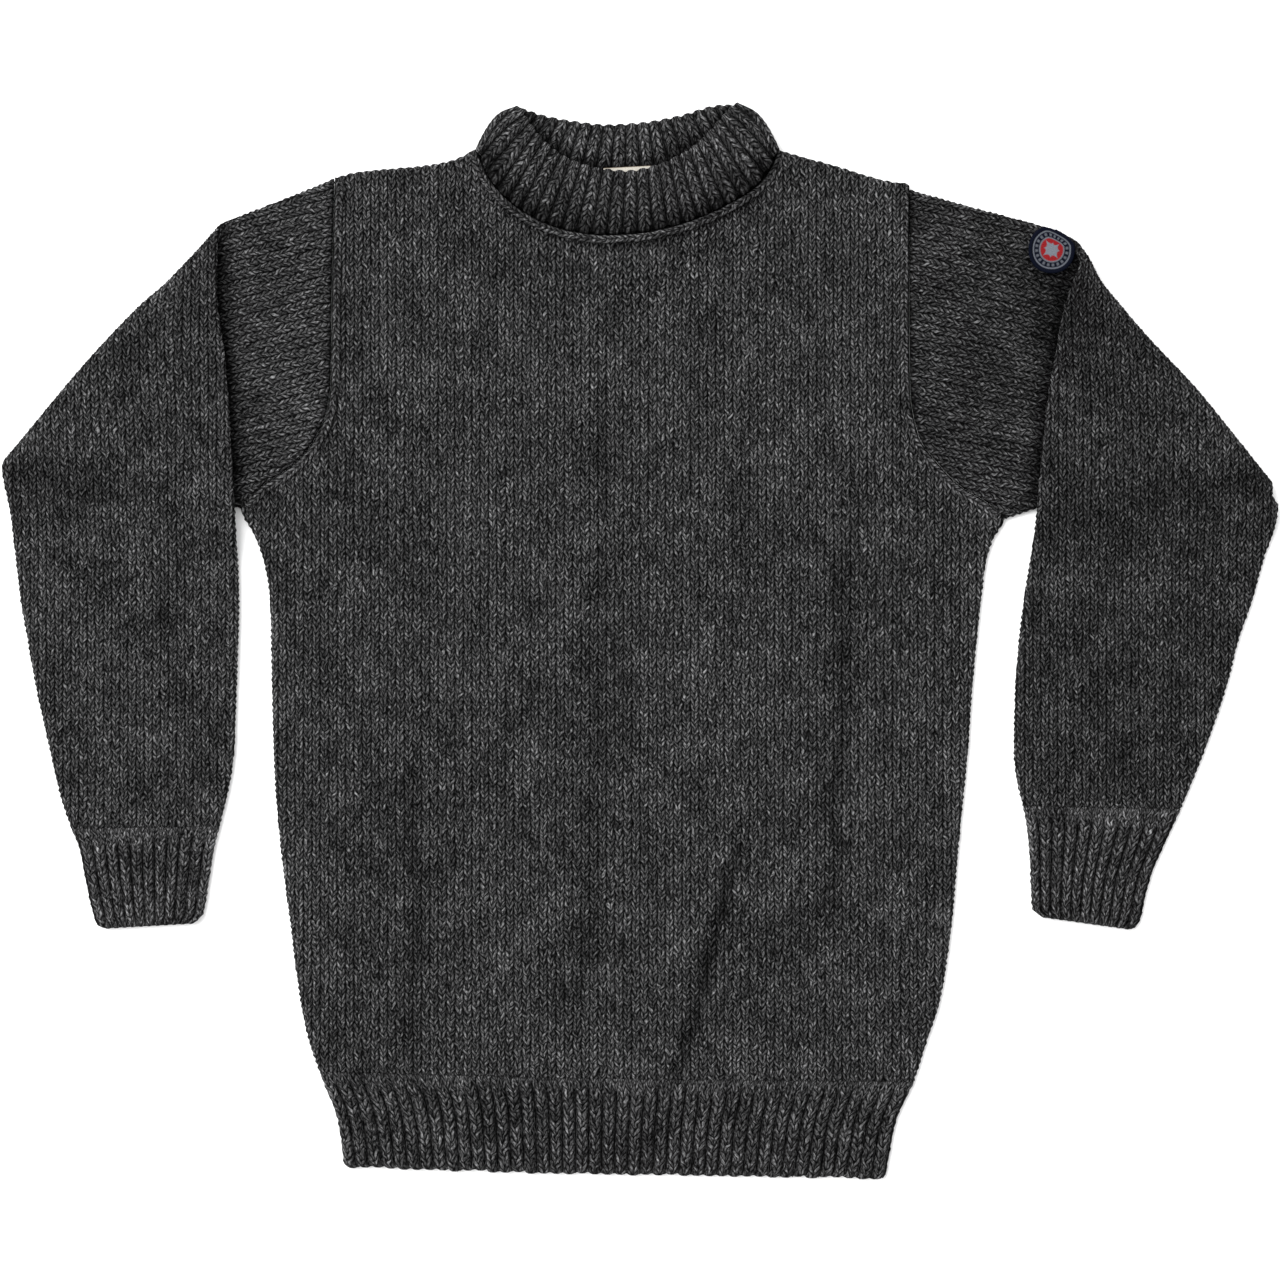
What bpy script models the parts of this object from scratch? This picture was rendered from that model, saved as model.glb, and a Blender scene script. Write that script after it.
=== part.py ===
"""A wool sweater laid flat on its back, with both sleeves folded over at the elbow.

Millimetres in the tables, metres in the mesh. +X is to the reader's right, +Y runs up
the sheet from the hem to the collar, and +Z rises off the surface it lies on.
The body is two panels lying on each other, the sleeves are flattened tubes that turn
round a slanting fold, and the ribbed bands are panels of their own along the seams.
"""
from collections import namedtuple

import bpy
import numpy as np

MM = 0.001
WALL = 3.2            # thickness of the knitted cloth
LAYER_GAP = 0.4       # air between two layers of one tube
SEAM_GAP = 0.4        # air between two pieces where they are sewn together
SLAB = 2 * WALL + LAYER_GAP
HALF = SLAB / 2
RIB_RISE = 0.6        # height of a rib over the groove beside it
FOLD_HEIGHT = SLAB + 0.5   # the fold's axis: half the air between the upper sleeve and forearm over it
DROP_START = 13.0     # distance past the underarm edge at which the forearm starts to come down
DROP_RUN = 32.0       # and over which it comes down to the floor

Edge = namedtuple("Edge", "x y")
Crease = namedtuple("Crease", "x0 y0 x1 y1 half_width depth")
Arm = namedtuple(
    "Arm",
    "name armhole top_middle low_middle axis_top axis_low after_top after_low bow inner outer"
    " cuff_inner cuff_outer",
)
Bow = namedtuple("Bow", "share push")

# Body outline from the hem seam up the side to the underarm, then up the armhole.
BODY_LEFT = (
    Edge(-215.0, -388.0), Edge(-220.1, -350.8), Edge(-231.0, -321.6), Edge(-241.3, -292.4),
    Edge(-247.5, -263.2), Edge(-255.1, -204.8), Edge(-262.4, -146.4), Edge(-266.8, -88.0),
    Edge(-268.3, -29.6), Edge(-269.7, 28.8), Edge(-274.1, 56.6), Edge(-281.4, 77.0),
    Edge(-290.9, 96.0), Edge(-275.6, 112.1), Edge(-255.1, 125.9), Edge(-238.3, 144.2),
    Edge(-228.1, 167.5), Edge(-225.2, 189.4), Edge(-224.6, 247.8), Edge(-222.3, 337.0),
)
BODY_RIGHT = (
    Edge(178.5, -394.0), Edge(186.5, -350.8), Edge(199.7, -321.6), Edge(209.1, -292.4),
    Edge(218.6, -263.2), Edge(227.4, -204.8), Edge(232.5, -146.4), Edge(238.3, -88.0),
    Edge(242.7, -29.6), Edge(248.6, 28.8), Edge(252.2, 56.6), Edge(257.6, 74.0),
    Edge(265.4, 88.0), Edge(254.4, 98.9), Edge(233.2, 112.1), Edge(217.9, 127.4),
    Edge(202.6, 149.3), Edge(196.7, 182.1), Edge(196.0, 233.2), Edge(196.4, 331.0),
)
UNDERARM_LEFT = 96.0
UNDERARM_RIGHT = 88.0

# Shoulder lines, from the armhole to the collar.
SHOULDER_LEFT = (
    Edge(-222.3, 337.0), Edge(-203.3, 341.3), Edge(-156.6, 345.7), Edge(-137.6, 349.3),
    Edge(-118.6, 353.2),
)
SHOULDER_RIGHT = (
    Edge(100.6, 353.2), Edge(123.0, 350.0), Edge(142.0, 345.7), Edge(155.9, 341.3),
    Edge(170.5, 336.9), Edge(196.4, 331.0),
)
# Neckline seams of the front and of the back, from left to right.
NECK_FRONT = (
    Edge(-118.6, 353.2), Edge(-111.6, 337.6), Edge(-101.1, 324.5), Edge(-88.0, 313.5),
    Edge(-71.2, 304.0), Edge(-48.5, 297.0), Edge(-26.6, 294.6), Edge(-4.0, 295.6),
    Edge(22.3, 300.4), Edge(42.7, 307.0), Edge(64.6, 317.2), Edge(83.6, 329.0),
    Edge(94.6, 341.3), Edge(100.6, 353.2),
)
NECK_BACK = (
    Edge(-118.6, 353.2), Edge(-101.0, 338.0), Edge(-66.0, 328.5), Edge(-9.0, 323.5),
    Edge(48.0, 328.5), Edge(82.0, 338.0), Edge(100.6, 353.2),
)
HEM_SEAM = (Edge(-240.0, -314.3), Edge(-9.0, -320.0), Edge(215.0, -322.3))
HEM_EDGE = (Edge(-230.0, -383.6), Edge(-60.0, -388.6), Edge(195.0, -392.6))
HEM_RIBS = 42

# Soft troughs of the front, as seen on the sheet.
CREASES = (
    Crease(81.0, -175.0, 33.0, -300.0, 9.0, 0.9),
    Crease(110.0, -118.0, 113.0, -190.0, 10.0, 0.5),
    Crease(-150.0, -120.0, -172.0, -260.0, 16.0, 0.6),
    Crease(-236.0, 92.0, -150.0, 30.0, 14.0, 0.6),
    Crease(214.0, 86.0, 140.0, 20.0, 14.0, 0.6),
)

ARM_LEFT = Arm(
    name="left",
    armhole=BODY_LEFT[12:],
    top_middle=Edge(-252.0, 323.2), low_middle=Edge(-345.0, 106.0),
    axis_top=Edge(-290.9, 307.8), axis_low=Edge(-456.1, 129.1),
    after_top=Edge(-306.6, 290.8), after_low=Edge(-463.8, 120.8),
    bow=(Bow(0, 1.5), Bow(0.15, 0.4), Bow(0.28, 0.8), Bow(0.42, 4.0), Bow(0.56, 4.6), Bow(1, 0.0)),
    inner=(
        Edge(-306.6, 290.8), Edge(-307.7, 255.9), Edge(-301.9, 206.2), Edge(-298.2, 157.3),
        Edge(-295.3, 106.9), Edge(-293.1, 58.0), Edge(-292.4, 28.8), Edge(-294.6, -44.2),
        Edge(-296.7, -88.0), Edge(-301.9, -117.2), Edge(-306.6, -135.8),
    ),
    outer=(
        Edge(-463.8, 120.8), Edge(-460.3, 101.8), Edge(-456.6, 72.6), Edge(-451.5, 28.8),
        Edge(-446.4, -0.4), Edge(-441.3, -29.6), Edge(-431.8, -73.4), Edge(-421.6, -117.2),
        Edge(-414.6, -137.4),
    ),
    cuff_inner=(
        Edge(-306.7, -136.3), Edge(-310.4, -151.0), Edge(-314.3, -175.6), Edge(-318.8, -201.0),
        Edge(-321.4, -206.6),
    ),
    cuff_outer=(
        Edge(-414.4, -137.9), Edge(-409.2, -150.0), Edge(-404.1, -175.6), Edge(-397.4, -204.0),
        Edge(-395.0, -210.4),
    ),
)
ARM_RIGHT = Arm(
    name="right",
    armhole=BODY_RIGHT[12:],
    top_middle=Edge(246.0, 313.8), low_middle=Edge(300.0, 98.5),
    axis_top=Edge(304.1, 297.4), axis_low=Edge(452.5, 113.9),
    after_top=Edge(321.5, 275.9), after_low=Edge(459.8, 104.9),
    bow=(Bow(0, 1.6), Bow(0.12, -0.8), Bow(0.22, -4.8), Bow(0.38, -4.2), Bow(0.7, 0.4), Bow(1, 0.0)),
    inner=(
        Edge(321.5, 275.9), Edge(313.0, 252.9), Edge(302.2, 207.7), Edge(295.3, 166.1),
        Edge(290.2, 115.7), Edge(288.0, 87.2), Edge(282.1, 43.4), Edge(276.3, -0.4),
        Edge(273.4, -44.2), Edge(272.7, -80.7), Edge(274.8, -102.6), Edge(279.4, -121.0),
    ),
    outer=(
        Edge(459.8, 104.9), Edge(464.2, 97.0), Edge(463.4, 86.0), Edge(454.4, 58.0), Edge(446.4, 28.8),
        Edge(436.2, -0.4), Edge(428.9, -29.6), Edge(414.3, -73.4), Edge(396.8, -117.2),
        Edge(394.2, -123.0),
    ),
    cuff_inner=(
        Edge(279.6, -121.5), Edge(282.1, -136.0), Edge(284.3, -161.0), Edge(285.8, -194.0),
        Edge(289.6, -202.0),
    ),
    cuff_outer=(
        Edge(394.0, -123.5), Edge(384.6, -144.0), Edge(371.2, -175.6), Edge(364.0, -205.0),
        Edge(361.2, -211.2),
    ),
)
CUFF_RIBS = 11

# Collar band: centre line of its rounded base and top, front and back.
BAND = 5.6            # thickness of the doubled band
FRONT_TOP = (
    Edge(-91.0, 386.0), Edge(-79.8, 372.4), Edge(-66.9, 357.6), Edge(-49.6, 346.8),
    Edge(-28.4, 340.8), Edge(-9.1, 339.2), Edge(10.4, 342.9), Edge(30.4, 351.3),
    Edge(45.9, 362.4), Edge(58.4, 376.0), Edge(71.2, 388.0),
)
BACK_TOP = (
    Edge(-91.0, 386.0), Edge(-72.2, 380.8), Edge(-50.3, 376.4), Edge(-24.5, 373.5),
    Edge(0.0, 374.9), Edge(29.2, 380.1), Edge(52.4, 387.0), Edge(71.2, 388.0),
)
COLLAR_LEFT_OUT = Edge(-0.766, 0.642)
COLLAR_RIGHT_OUT = Edge(0.804, 0.594)
COLLAR_BASE_LEFT = Edge(-114.6, 354.6)
COLLAR_BASE_RIGHT = Edge(96.6, 354.6)
COLLAR_RISE = 10.0    # height of the front band's middle where it lies on the back band
COLLAR_LOW = 6.4      # and at its seam, where it lies on the back panel
FRONT_RIBS = 24
BACK_RIBS = 20

LABEL = dict(left=-26.6, right=7.7, low=327.0, top=347.6, tilt=0.09, under=6.45, thick=0.5)
BADGE = dict(x=299.8, y=284.4, width=33.6, height=34.6, clear=0.4, thick=1.5, bow=1.9)

COLOURS = dict(
    knit=(0.038, 0.038, 0.039), rib=(0.033, 0.033, 0.034),
    label=(0.72, 0.66, 0.56), badge=(0.02, 0.03, 0.09),
)


def spline(edges, at):
    """Smooth curve through the edge points at fractions of its length, without overshoot."""
    points = np.array(edges, float)
    knots = np.concatenate([[0], np.cumsum(np.linalg.norm(np.diff(points, axis=0), axis=1))])
    return smooth_interp(np.asarray(at, float) * knots[-1], knots, points)


def smooth_interp(at, knots, values):
    """Monotone cubic through the knots, evaluated at each position."""
    at, knots, values = np.asarray(at, float), np.asarray(knots, float), np.asarray(values, float)
    flat = values.ndim == 1
    values = values[:, None] if flat else values
    step = np.diff(knots)[:, None]
    slope = np.diff(values, axis=0) / step
    tangent = np.zeros_like(values)
    same = slope[1:] * slope[:-1] > 0
    mean = 2 * slope[1:] * slope[:-1] / np.where(same, slope[1:] + slope[:-1], 1)
    tangent[1:-1] = np.where(same, mean, 0)
    tangent[0], tangent[-1] = slope[0], slope[-1]
    cell = np.clip(np.searchsorted(knots, at, side="right") - 1, 0, len(step) - 1)
    width = step[cell]
    part = np.clip((at - knots[cell])[..., None] / width, 0, 1)
    found = (
        (1 + 2 * part) * (1 - part) ** 2 * values[cell]
        + part * (1 - part) ** 2 * width * tangent[cell]
        + part ** 2 * (3 - 2 * part) * values[cell + 1]
        + part ** 2 * (part - 1) * width * tangent[cell + 1]
    )
    return found[..., 0] if flat else found


def x_at(edges, y):
    """Distance from the middle of an outline at each height."""
    rows = np.array(edges, float)
    return smooth_interp(np.clip(y, rows[0, 1], rows[-1, 1]), rows[:, 1], rows[:, 0])


def y_at(edges, x):
    """Height of an upper or lower outline at each distance from the middle."""
    rows = np.array(edges, float)
    return smooth_interp(np.clip(x, rows[0, 0], rows[-1, 0]), rows[:, 0], rows[:, 1])


def ease(part):
    part = np.clip(part, 0, 1)
    return part * part * (3 - 2 * part)


def rounding(inset):
    """Share of the half thickness that a rounded edge keeps at a distance inside its outline."""
    return np.sqrt(np.clip(1 - (1 - np.clip(inset / HALF, 0, 1)) ** 2, 0, 1))


def crease_depth(x, y):
    """Sum of the soft troughs: each is deepest along its line and fades at its sides and ends."""
    total = np.zeros_like(x)
    for crease in CREASES:
        run = np.array([crease.x1 - crease.x0, crease.y1 - crease.y0])
        length = np.hypot(*run)
        along = ((x - crease.x0) * run[0] + (y - crease.y0) * run[1]) / length
        aside = ((y - crease.y0) * run[0] - (x - crease.x0) * run[1]) / length
        past = np.maximum(np.abs(along - length / 2) - length / 2, 0)
        total += crease.depth * np.exp(-(aside / crease.half_width) ** 2 - (past / 25) ** 2)
    return total


def closed_mesh(name, outer, inner, around, colour):
    """One closed solid between an outer and an inner grid; around: the columns form a ring."""
    rows, columns = outer.shape[:2]
    points = np.concatenate([outer.reshape(-1, 3), inner.reshape(-1, 3)])
    grid = np.arange(rows * columns).reshape(rows, columns)
    under = grid + rows * columns
    if around:
        grid, under = (np.hstack([index, index[:, :1]]) for index in (grid, under))
    quads = [strip(grid), strip(under)[:, ::-1]]
    quads += [strip(np.stack([under[0], grid[0]])), strip(np.stack([grid[-1], under[-1]]))]
    if not around:
        quads += [
            strip(np.stack([grid[:, 0], under[:, 0]])),
            strip(np.stack([under[:, -1], grid[:, -1]])),
        ]
    return solid(name, points, np.concatenate(quads), colour)


def strip(index):
    """Quads between neighbouring rows and columns of an index grid."""
    return np.stack(
        [index[:-1, :-1], index[:-1, 1:], index[1:, 1:], index[1:, :-1]], axis=-1
    ).reshape(-1, 4)


def solid(name, points, quads, colour):
    """Object from quads cut along their lower diagonal, turned so that its faces look outwards."""
    level = points[quads][..., 2]
    turn = level[:, 1] + level[:, 3] < level[:, 0] + level[:, 2] - 0.001
    quads = np.where(turn[:, None], np.roll(quads, -1, axis=1), quads)
    triangles = np.concatenate([quads[:, [0, 1, 2]], quads[:, [0, 2, 3]]])
    same = (triangles == np.roll(triangles, 1, axis=1)).any(axis=1)
    triangles = triangles[~same]
    corners = points[triangles]
    volume = np.einsum("ij,ij->i", corners[:, 0], np.cross(corners[:, 1], corners[:, 2])).sum()
    triangles = triangles if volume > 0 else triangles[:, ::-1]
    mesh = bpy.data.meshes.new(name)
    mesh.from_pydata((points * MM).tolist(), [], triangles.tolist())
    mesh.materials.append(material(name, colour))
    item = bpy.data.objects.new(name, mesh)
    bpy.data.collections["wool_sweater"].objects.link(item)
    return item


def material(name, colour):
    made = bpy.data.materials.new(name)
    made.use_nodes = True
    shader = made.node_tree.nodes["Principled BSDF"]
    shader.inputs["Base Color"].default_value = (*COLOURS[colour], 1.0)
    shader.inputs["Roughness"].default_value = 0.95
    return made


# Rows of the body below the shoulders: height at its left and at its right side.
BODY_ROWS = (
    (-292.4, -292.4), (-263.2, -263.2), (-204.8, -204.8), (-118.0, -118.0), (-29.6, -29.6),
    (28.8, 28.8), (56.6, 56.6), (77.0, 74.0), (96.0, 88.0), (112.1, 98.9), (125.9, 112.1),
    (144.2, 127.4), (167.5, 149.3), (189.4, 182.1),
)
# Columns of the front and back: share of the way across, close together at the neckline's ends.
FRONT_COLUMNS = (
    0.05, 0.11, 0.17, 0.225, 0.246, 0.256, 0.272, 0.30, 0.335, 0.38, 0.43, 0.48, 0.53, 0.58, 0.63,
    0.68, 0.715, 0.742, 0.758, 0.770, 0.78, 0.83, 0.89, 0.95,
)
BACK_COLUMNS = (
    0.09, 0.18, 0.246, 0.262, 0.30, 0.37, 0.50, 0.62, 0.70, 0.748, 0.768, 0.83, 0.92,
)


def body_grid(shares, top_of):
    """Plan of a body panel: columns run between its sides, rows between hem and upper edge."""
    columns = [(0, 0.12), (0, 1.0), (0, HALF)] + [(part, 0) for part in shares]
    columns += [(1, -HALF), (1, -1.0), (1, -0.12)]
    share, offset = np.array(columns).T

    def x_of(y):
        left, right = x_at(BODY_LEFT, y), x_at(BODY_RIGHT, y)
        return left + share * (right - left) + offset

    top = np.full(len(share), 335.0)
    low = np.full(len(share), -320.0)
    for _ in range(30):
        top = 0.5 * top + 0.5 * top_of(x_of(top))
        low = 0.5 * low + 0.5 * (y_at(HEM_SEAM, x_of(low)) + SEAM_GAP / 2)
    levels = [low] + [left + share * (right - left) for left, right in BODY_ROWS]
    last = levels[-1]
    levels += [last + part * (top - last) for part in (0.22, 0.42, 0.6, 0.75, 0.87)]
    levels += [top - inset for inset in (HALF, 1.0, 0.12)]
    y = np.array(levels)
    return np.stack([x_of(level) for level in y]), y, top


def front_top(x):
    """Upper edge of the front panel: shoulder, neckline, shoulder."""
    middle = np.where(x < NECK_FRONT[0].x, y_at(SHOULDER_LEFT, x), y_at(NECK_FRONT, x))
    return np.where(x > NECK_FRONT[-1].x, y_at(SHOULDER_RIGHT, x), middle)


def back_top(x):
    middle = np.where(x < NECK_BACK[0].x, y_at(SHOULDER_LEFT, x), y_at(NECK_BACK, x))
    return np.where(x > NECK_BACK[-1].x, y_at(SHOULDER_RIGHT, x), middle)


def free_inset(x, y, top):
    """Distance inside the free outline of the body; seams at armholes and neckline don't count."""
    left = np.where(y < UNDERARM_LEFT, x - x_at(BODY_LEFT, y), 99)
    right = np.where(y < UNDERARM_RIGHT, x_at(BODY_RIGHT, y) - x, 99)
    on_shoulder = (x < NECK_FRONT[0].x - 1) | (x > NECK_FRONT[-1].x + 1)
    upper = np.where(on_shoulder, top - y, 99)
    return np.minimum(np.minimum(left, right), upper)


def make_panels():
    """Front and back panel, each half of the body's thickness, with a rounded free edge."""
    for name, top_of, upper in (("front_panel", front_top, True), ("back_panel", back_top, False)):
        x, y, top = body_grid(FRONT_COLUMNS if upper else BACK_COLUMNS, top_of)
        keep = rounding(free_inset(x, y, top))
        if upper:
            outer = HALF + HALF * keep - crease_depth(x, y)
            inner = np.full_like(x, HALF + LAYER_GAP / 2)
        else:
            outer = HALF - HALF * keep
            inner = np.full_like(x, HALF - LAYER_GAP / 2)
        closed_mesh(
            name, np.stack([x, y, outer], -1), np.stack([x, y, inner], -1), False, "knit"
        )


def make_hem():
    """Ribbed hem bands of the front and of the back, sewn on below the panels."""
    for name, upper in (("front_hem_rib", True), ("back_hem_rib", False)):
        count = HEM_RIBS * 3 if upper else 12
        share = np.linspace(0, 1, count + 1)
        columns = [(0, 0.12), (0, 1.0)] + [(part, 0) for part in share[1:-1]]
        columns += [(1, -1.0), (1, -0.12)]
        share = np.array([column[0] for column in columns])
        offset = np.array([column[1] for column in columns])
        low = y_at(HEM_EDGE, -215 + share * 394)
        high = y_at(HEM_SEAM, -228 + share * 427) - SEAM_GAP / 2
        part = np.array([0, 0.06, 0.38, 0.94, 1.0] if upper else [0, 0.5, 0.95, 1.0])[:, None]
        y = high + part * (low - high)
        left, right = x_at(BODY_LEFT, y), x_at(BODY_RIGHT, y)
        x = left + share * (right - left) + offset
        keep = rounding(np.minimum(x - left, right - x))
        keep = keep * np.array([0.86, 1, 1, 0.96, 0.55] if upper else [1, 1, 1, 0.6])[:, None]
        if upper:
            wave = 0.5 - 0.5 * np.cos(2 * np.pi * HEM_RIBS * share)
            rise = RIB_RISE * wave * np.array([0.3, 1, 1, 1, 0.6])[:, None]
            outer = HALF + HALF * keep + rise * (keep > 0.5)
            inner = np.full_like(x, HALF + LAYER_GAP / 2)
        else:
            outer = HALF - HALF * keep
            inner = np.full_like(x, HALF - LAYER_GAP / 2)
        closed_mesh(
            name, np.stack([x, y, outer], -1), np.stack([x, y, inner], -1), False, "rib"
        )


def tube_columns(top_shares, low_shares, rise=lambda part: 0 * part):
    """Ring round a flattened tube: share across and offset of the outer and inner wall, heights."""
    inset = np.array([0.0, 0.46, 1.7])
    lift = np.array([0.0, 0.5, 0.866])
    low_lift = -lift[:0:-1]
    top, low = np.array(top_shares, float), np.array(low_shares, float)[::-1]
    zero, one = np.zeros(3), np.ones(3)
    share = np.concatenate([
        zero, [0], top, [1], one[:2], [1], one[:2], [1], low, [0], zero[:2],
    ])
    offset = np.concatenate([
        inset, [HALF], 0 * top, [-HALF], -inset[:0:-1], [0], -inset[1:], [-HALF], 0 * low,
        [HALF], inset[:0:-1],
    ])
    turn = np.concatenate([
        lift, [1], 0 * top + 1, [1], lift[:0:-1], [0], -lift[1:], [-1], 0 * low - 1, [-1],
        low_lift,
    ])
    height = HALF + HALF * turn
    height[4:4 + len(top)] += rise(top)
    end = share == np.round(share)
    side = np.where(share < 0.5, 1, -1)
    inner_offset = np.where(end, side * (WALL + 0.05 * np.abs(turn) + 0.15 * np.abs(offset)), 0)
    return share, offset, height, inner_offset, HALF + LAYER_GAP / 2 * turn


def coons(share, left, right, start, end, part):
    """Point between four edge curves; share runs left to right and part from start to end."""
    return (
        (1 - share) * left + share * right + (1 - part) * start(share) + part * end(share)
        - (1 - part) * ((1 - share) * start(0 * share) + share * start(0 * share + 1))
        - part * ((1 - share) * end(0 * share) + share * end(0 * share + 1))
    )


def between(first, second):
    """Straight line from one edge point to another, as a function of the share along it."""
    first, second = np.array(first, float), np.array(second, float)
    return lambda share: first + share * (second - first)


def arm_drop(arm, x, y):
    """How far the forearm has come down from lying on the upper sleeve to lying on the floor."""
    underarm, elbow = np.array(arm.armhole[0]), np.array(arm.axis_low)
    run = (elbow - underarm) / np.linalg.norm(elbow - underarm)
    past = (x - underarm[0]) * run[1] - (y - underarm[1]) * run[0]
    past = past if arm.name == "right" else -past
    return (2 * FOLD_HEIGHT - SLAB) * ease((past - DROP_START) / DROP_RUN)


FOREARM_STATIONS = (
    0, 0.03, 0.06, 0.09, 0.12, 0.15, 0.18, 0.21, 0.24, 0.28, 0.32, 0.36, 0.40, 0.44, 0.48, 0.52, 0.56,
    0.61, 0.72, 0.86, 1,
)


def make_sleeve(arm):
    """Flattened tube from the armhole to the cuff that turns over along a slanting fold."""
    outward = 1 if arm.name == "right" else -1
    knots = np.array(arm.armhole[::-1], float)
    run = np.cumsum(np.linalg.norm(np.diff(knots, axis=0), axis=1))
    shares = np.sort(np.append(run[:-1], 0.43 * run[1]) / run[-1])
    share, offset, height, inner_offset, inner_height = tube_columns(shares, shares)
    axis = np.array(arm.axis_low) - np.array(arm.axis_top)
    length = np.linalg.norm(axis)
    axis /= length
    normal = np.array([-axis[1], axis[0]]) * outward
    armhole = [Edge(*(knot + np.array([outward * 0.6, 0.3]))) for knot in knots]
    first, last = np.array(armhole[0]), np.array(armhole[-1])
    grids = []
    for offsets, heights in ((offset, height), (inner_offset, inner_height)):
        stations = []
        for part in (0, 0.12, 0.3, 0.55, 0.8, 1):
            left = spline((first, arm.top_middle, arm.axis_top), part)
            right = spline((last, arm.low_middle, arm.axis_low), part)
            across = np.clip(share + offsets / np.linalg.norm(right - left), 0, 1)[:, None]
            place = coons(
                across, left, right, lambda at: spline(armhole, at[:, 0]),
                between(arm.axis_top, arm.axis_low), part,
            )
            stations.append(np.column_stack([place, heights]))
        for angle in np.radians((30, 60, 90, 120, 150)):
            part = angle / np.pi
            left = between(arm.axis_top, arm.after_top)(part)
            right = between(arm.axis_low, arm.after_low)(part)
            across = np.clip(share + offsets / np.linalg.norm(right - left), 0, 1)[:, None]
            radius = FOLD_HEIGHT - heights
            place = left + across * (right - left) + normal * (radius * np.sin(angle))[:, None]
            stations.append(np.column_stack([place, FOLD_HEIGHT - radius * np.cos(angle)]))
        for part in FOREARM_STATIONS:
            left, right = spline(arm.inner, part), spline(arm.outer, part)
            across = np.clip(share + offsets / np.linalg.norm(right - left), 0, 1)[:, None]
            place = coons(
                across, left, right, between(arm.after_top, arm.after_low),
                between(arm.inner[-1], arm.outer[-1]), part,
            )
            down = arm_drop(arm, place[:, 0], place[:, 1])
            stations.append(np.column_stack([place, 2 * FOLD_HEIGHT - heights - down]))
        grid = np.array(stations)
        grids.append(bowed(grid, arm, axis, normal, length))
    closed_mesh(f"sleeve_{arm.name}", grids[0], grids[1], True, "knit")


def bowed(grid, arm, axis, normal, length):
    """The fold line isn't quite straight: its short table pushes both layers out or in."""
    from_top = grid[..., :2] - np.array(arm.axis_top)
    along = np.clip(from_top @ axis / length, 0, 1)
    inside = np.clip(-(from_top @ normal), 0, 70) / 70
    table = np.array(arm.bow, float)
    push = smooth_interp(along, table[:, 0], table[:, 1]) * (1 - ease(inside))
    grid[..., :2] += push[..., None] * normal
    return grid


def make_cuff(arm):
    """Ribbed tube at the end of the sleeve; its underside rests flat."""
    count = CUFF_RIBS * 3
    top = np.arange(2, count - 1) / count
    share, offset, height, inner_offset, inner_height = tube_columns(
        top, (0.25, 0.5, 0.75),
        lambda part: RIB_RISE * (0.5 - 0.5 * np.cos(2 * np.pi * CUFF_RIBS * part)),
    )
    grids = []
    for offsets, heights in ((offset, height), (inner_offset, inner_height)):
        stations = []
        for part, thin in ((0, 0.95), (0.1, 1), (0.5, 1), (0.93, 1), (1, 0.9)):
            left, right = spline(arm.cuff_inner, part), spline(arm.cuff_outer, part)
            across = (share + offsets / np.linalg.norm(right - left))[:, None]
            place = left + across * (right - left)
            stations.append(np.column_stack([place, heights * thin]))
        grids.append(np.array(stations))
    closed_mesh(f"cuff_{arm.name}", grids[0], grids[1], True, "rib")


def offset_line(edges, distance, ends):
    """The line moved to its left by a distance, with its ends set."""
    at = np.linspace(0, 1, 41)
    line = spline(edges, at)
    run = np.gradient(line, axis=0)
    run /= np.linalg.norm(run, axis=1)[:, None]
    moved = line + distance * np.column_stack([-run[:, 1], run[:, 0]])
    fade = ease(np.minimum(at, 1 - at) / 0.12)[:, None]
    anchor = np.where(at[:, None] < 0.5, np.array(ends[0]), np.array(ends[1]))
    return moved * fade + (1 - fade) * anchor


def line_at(line, at):
    return smooth_interp(np.asarray(at, float), np.linspace(0, 1, len(line)), line)


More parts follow.
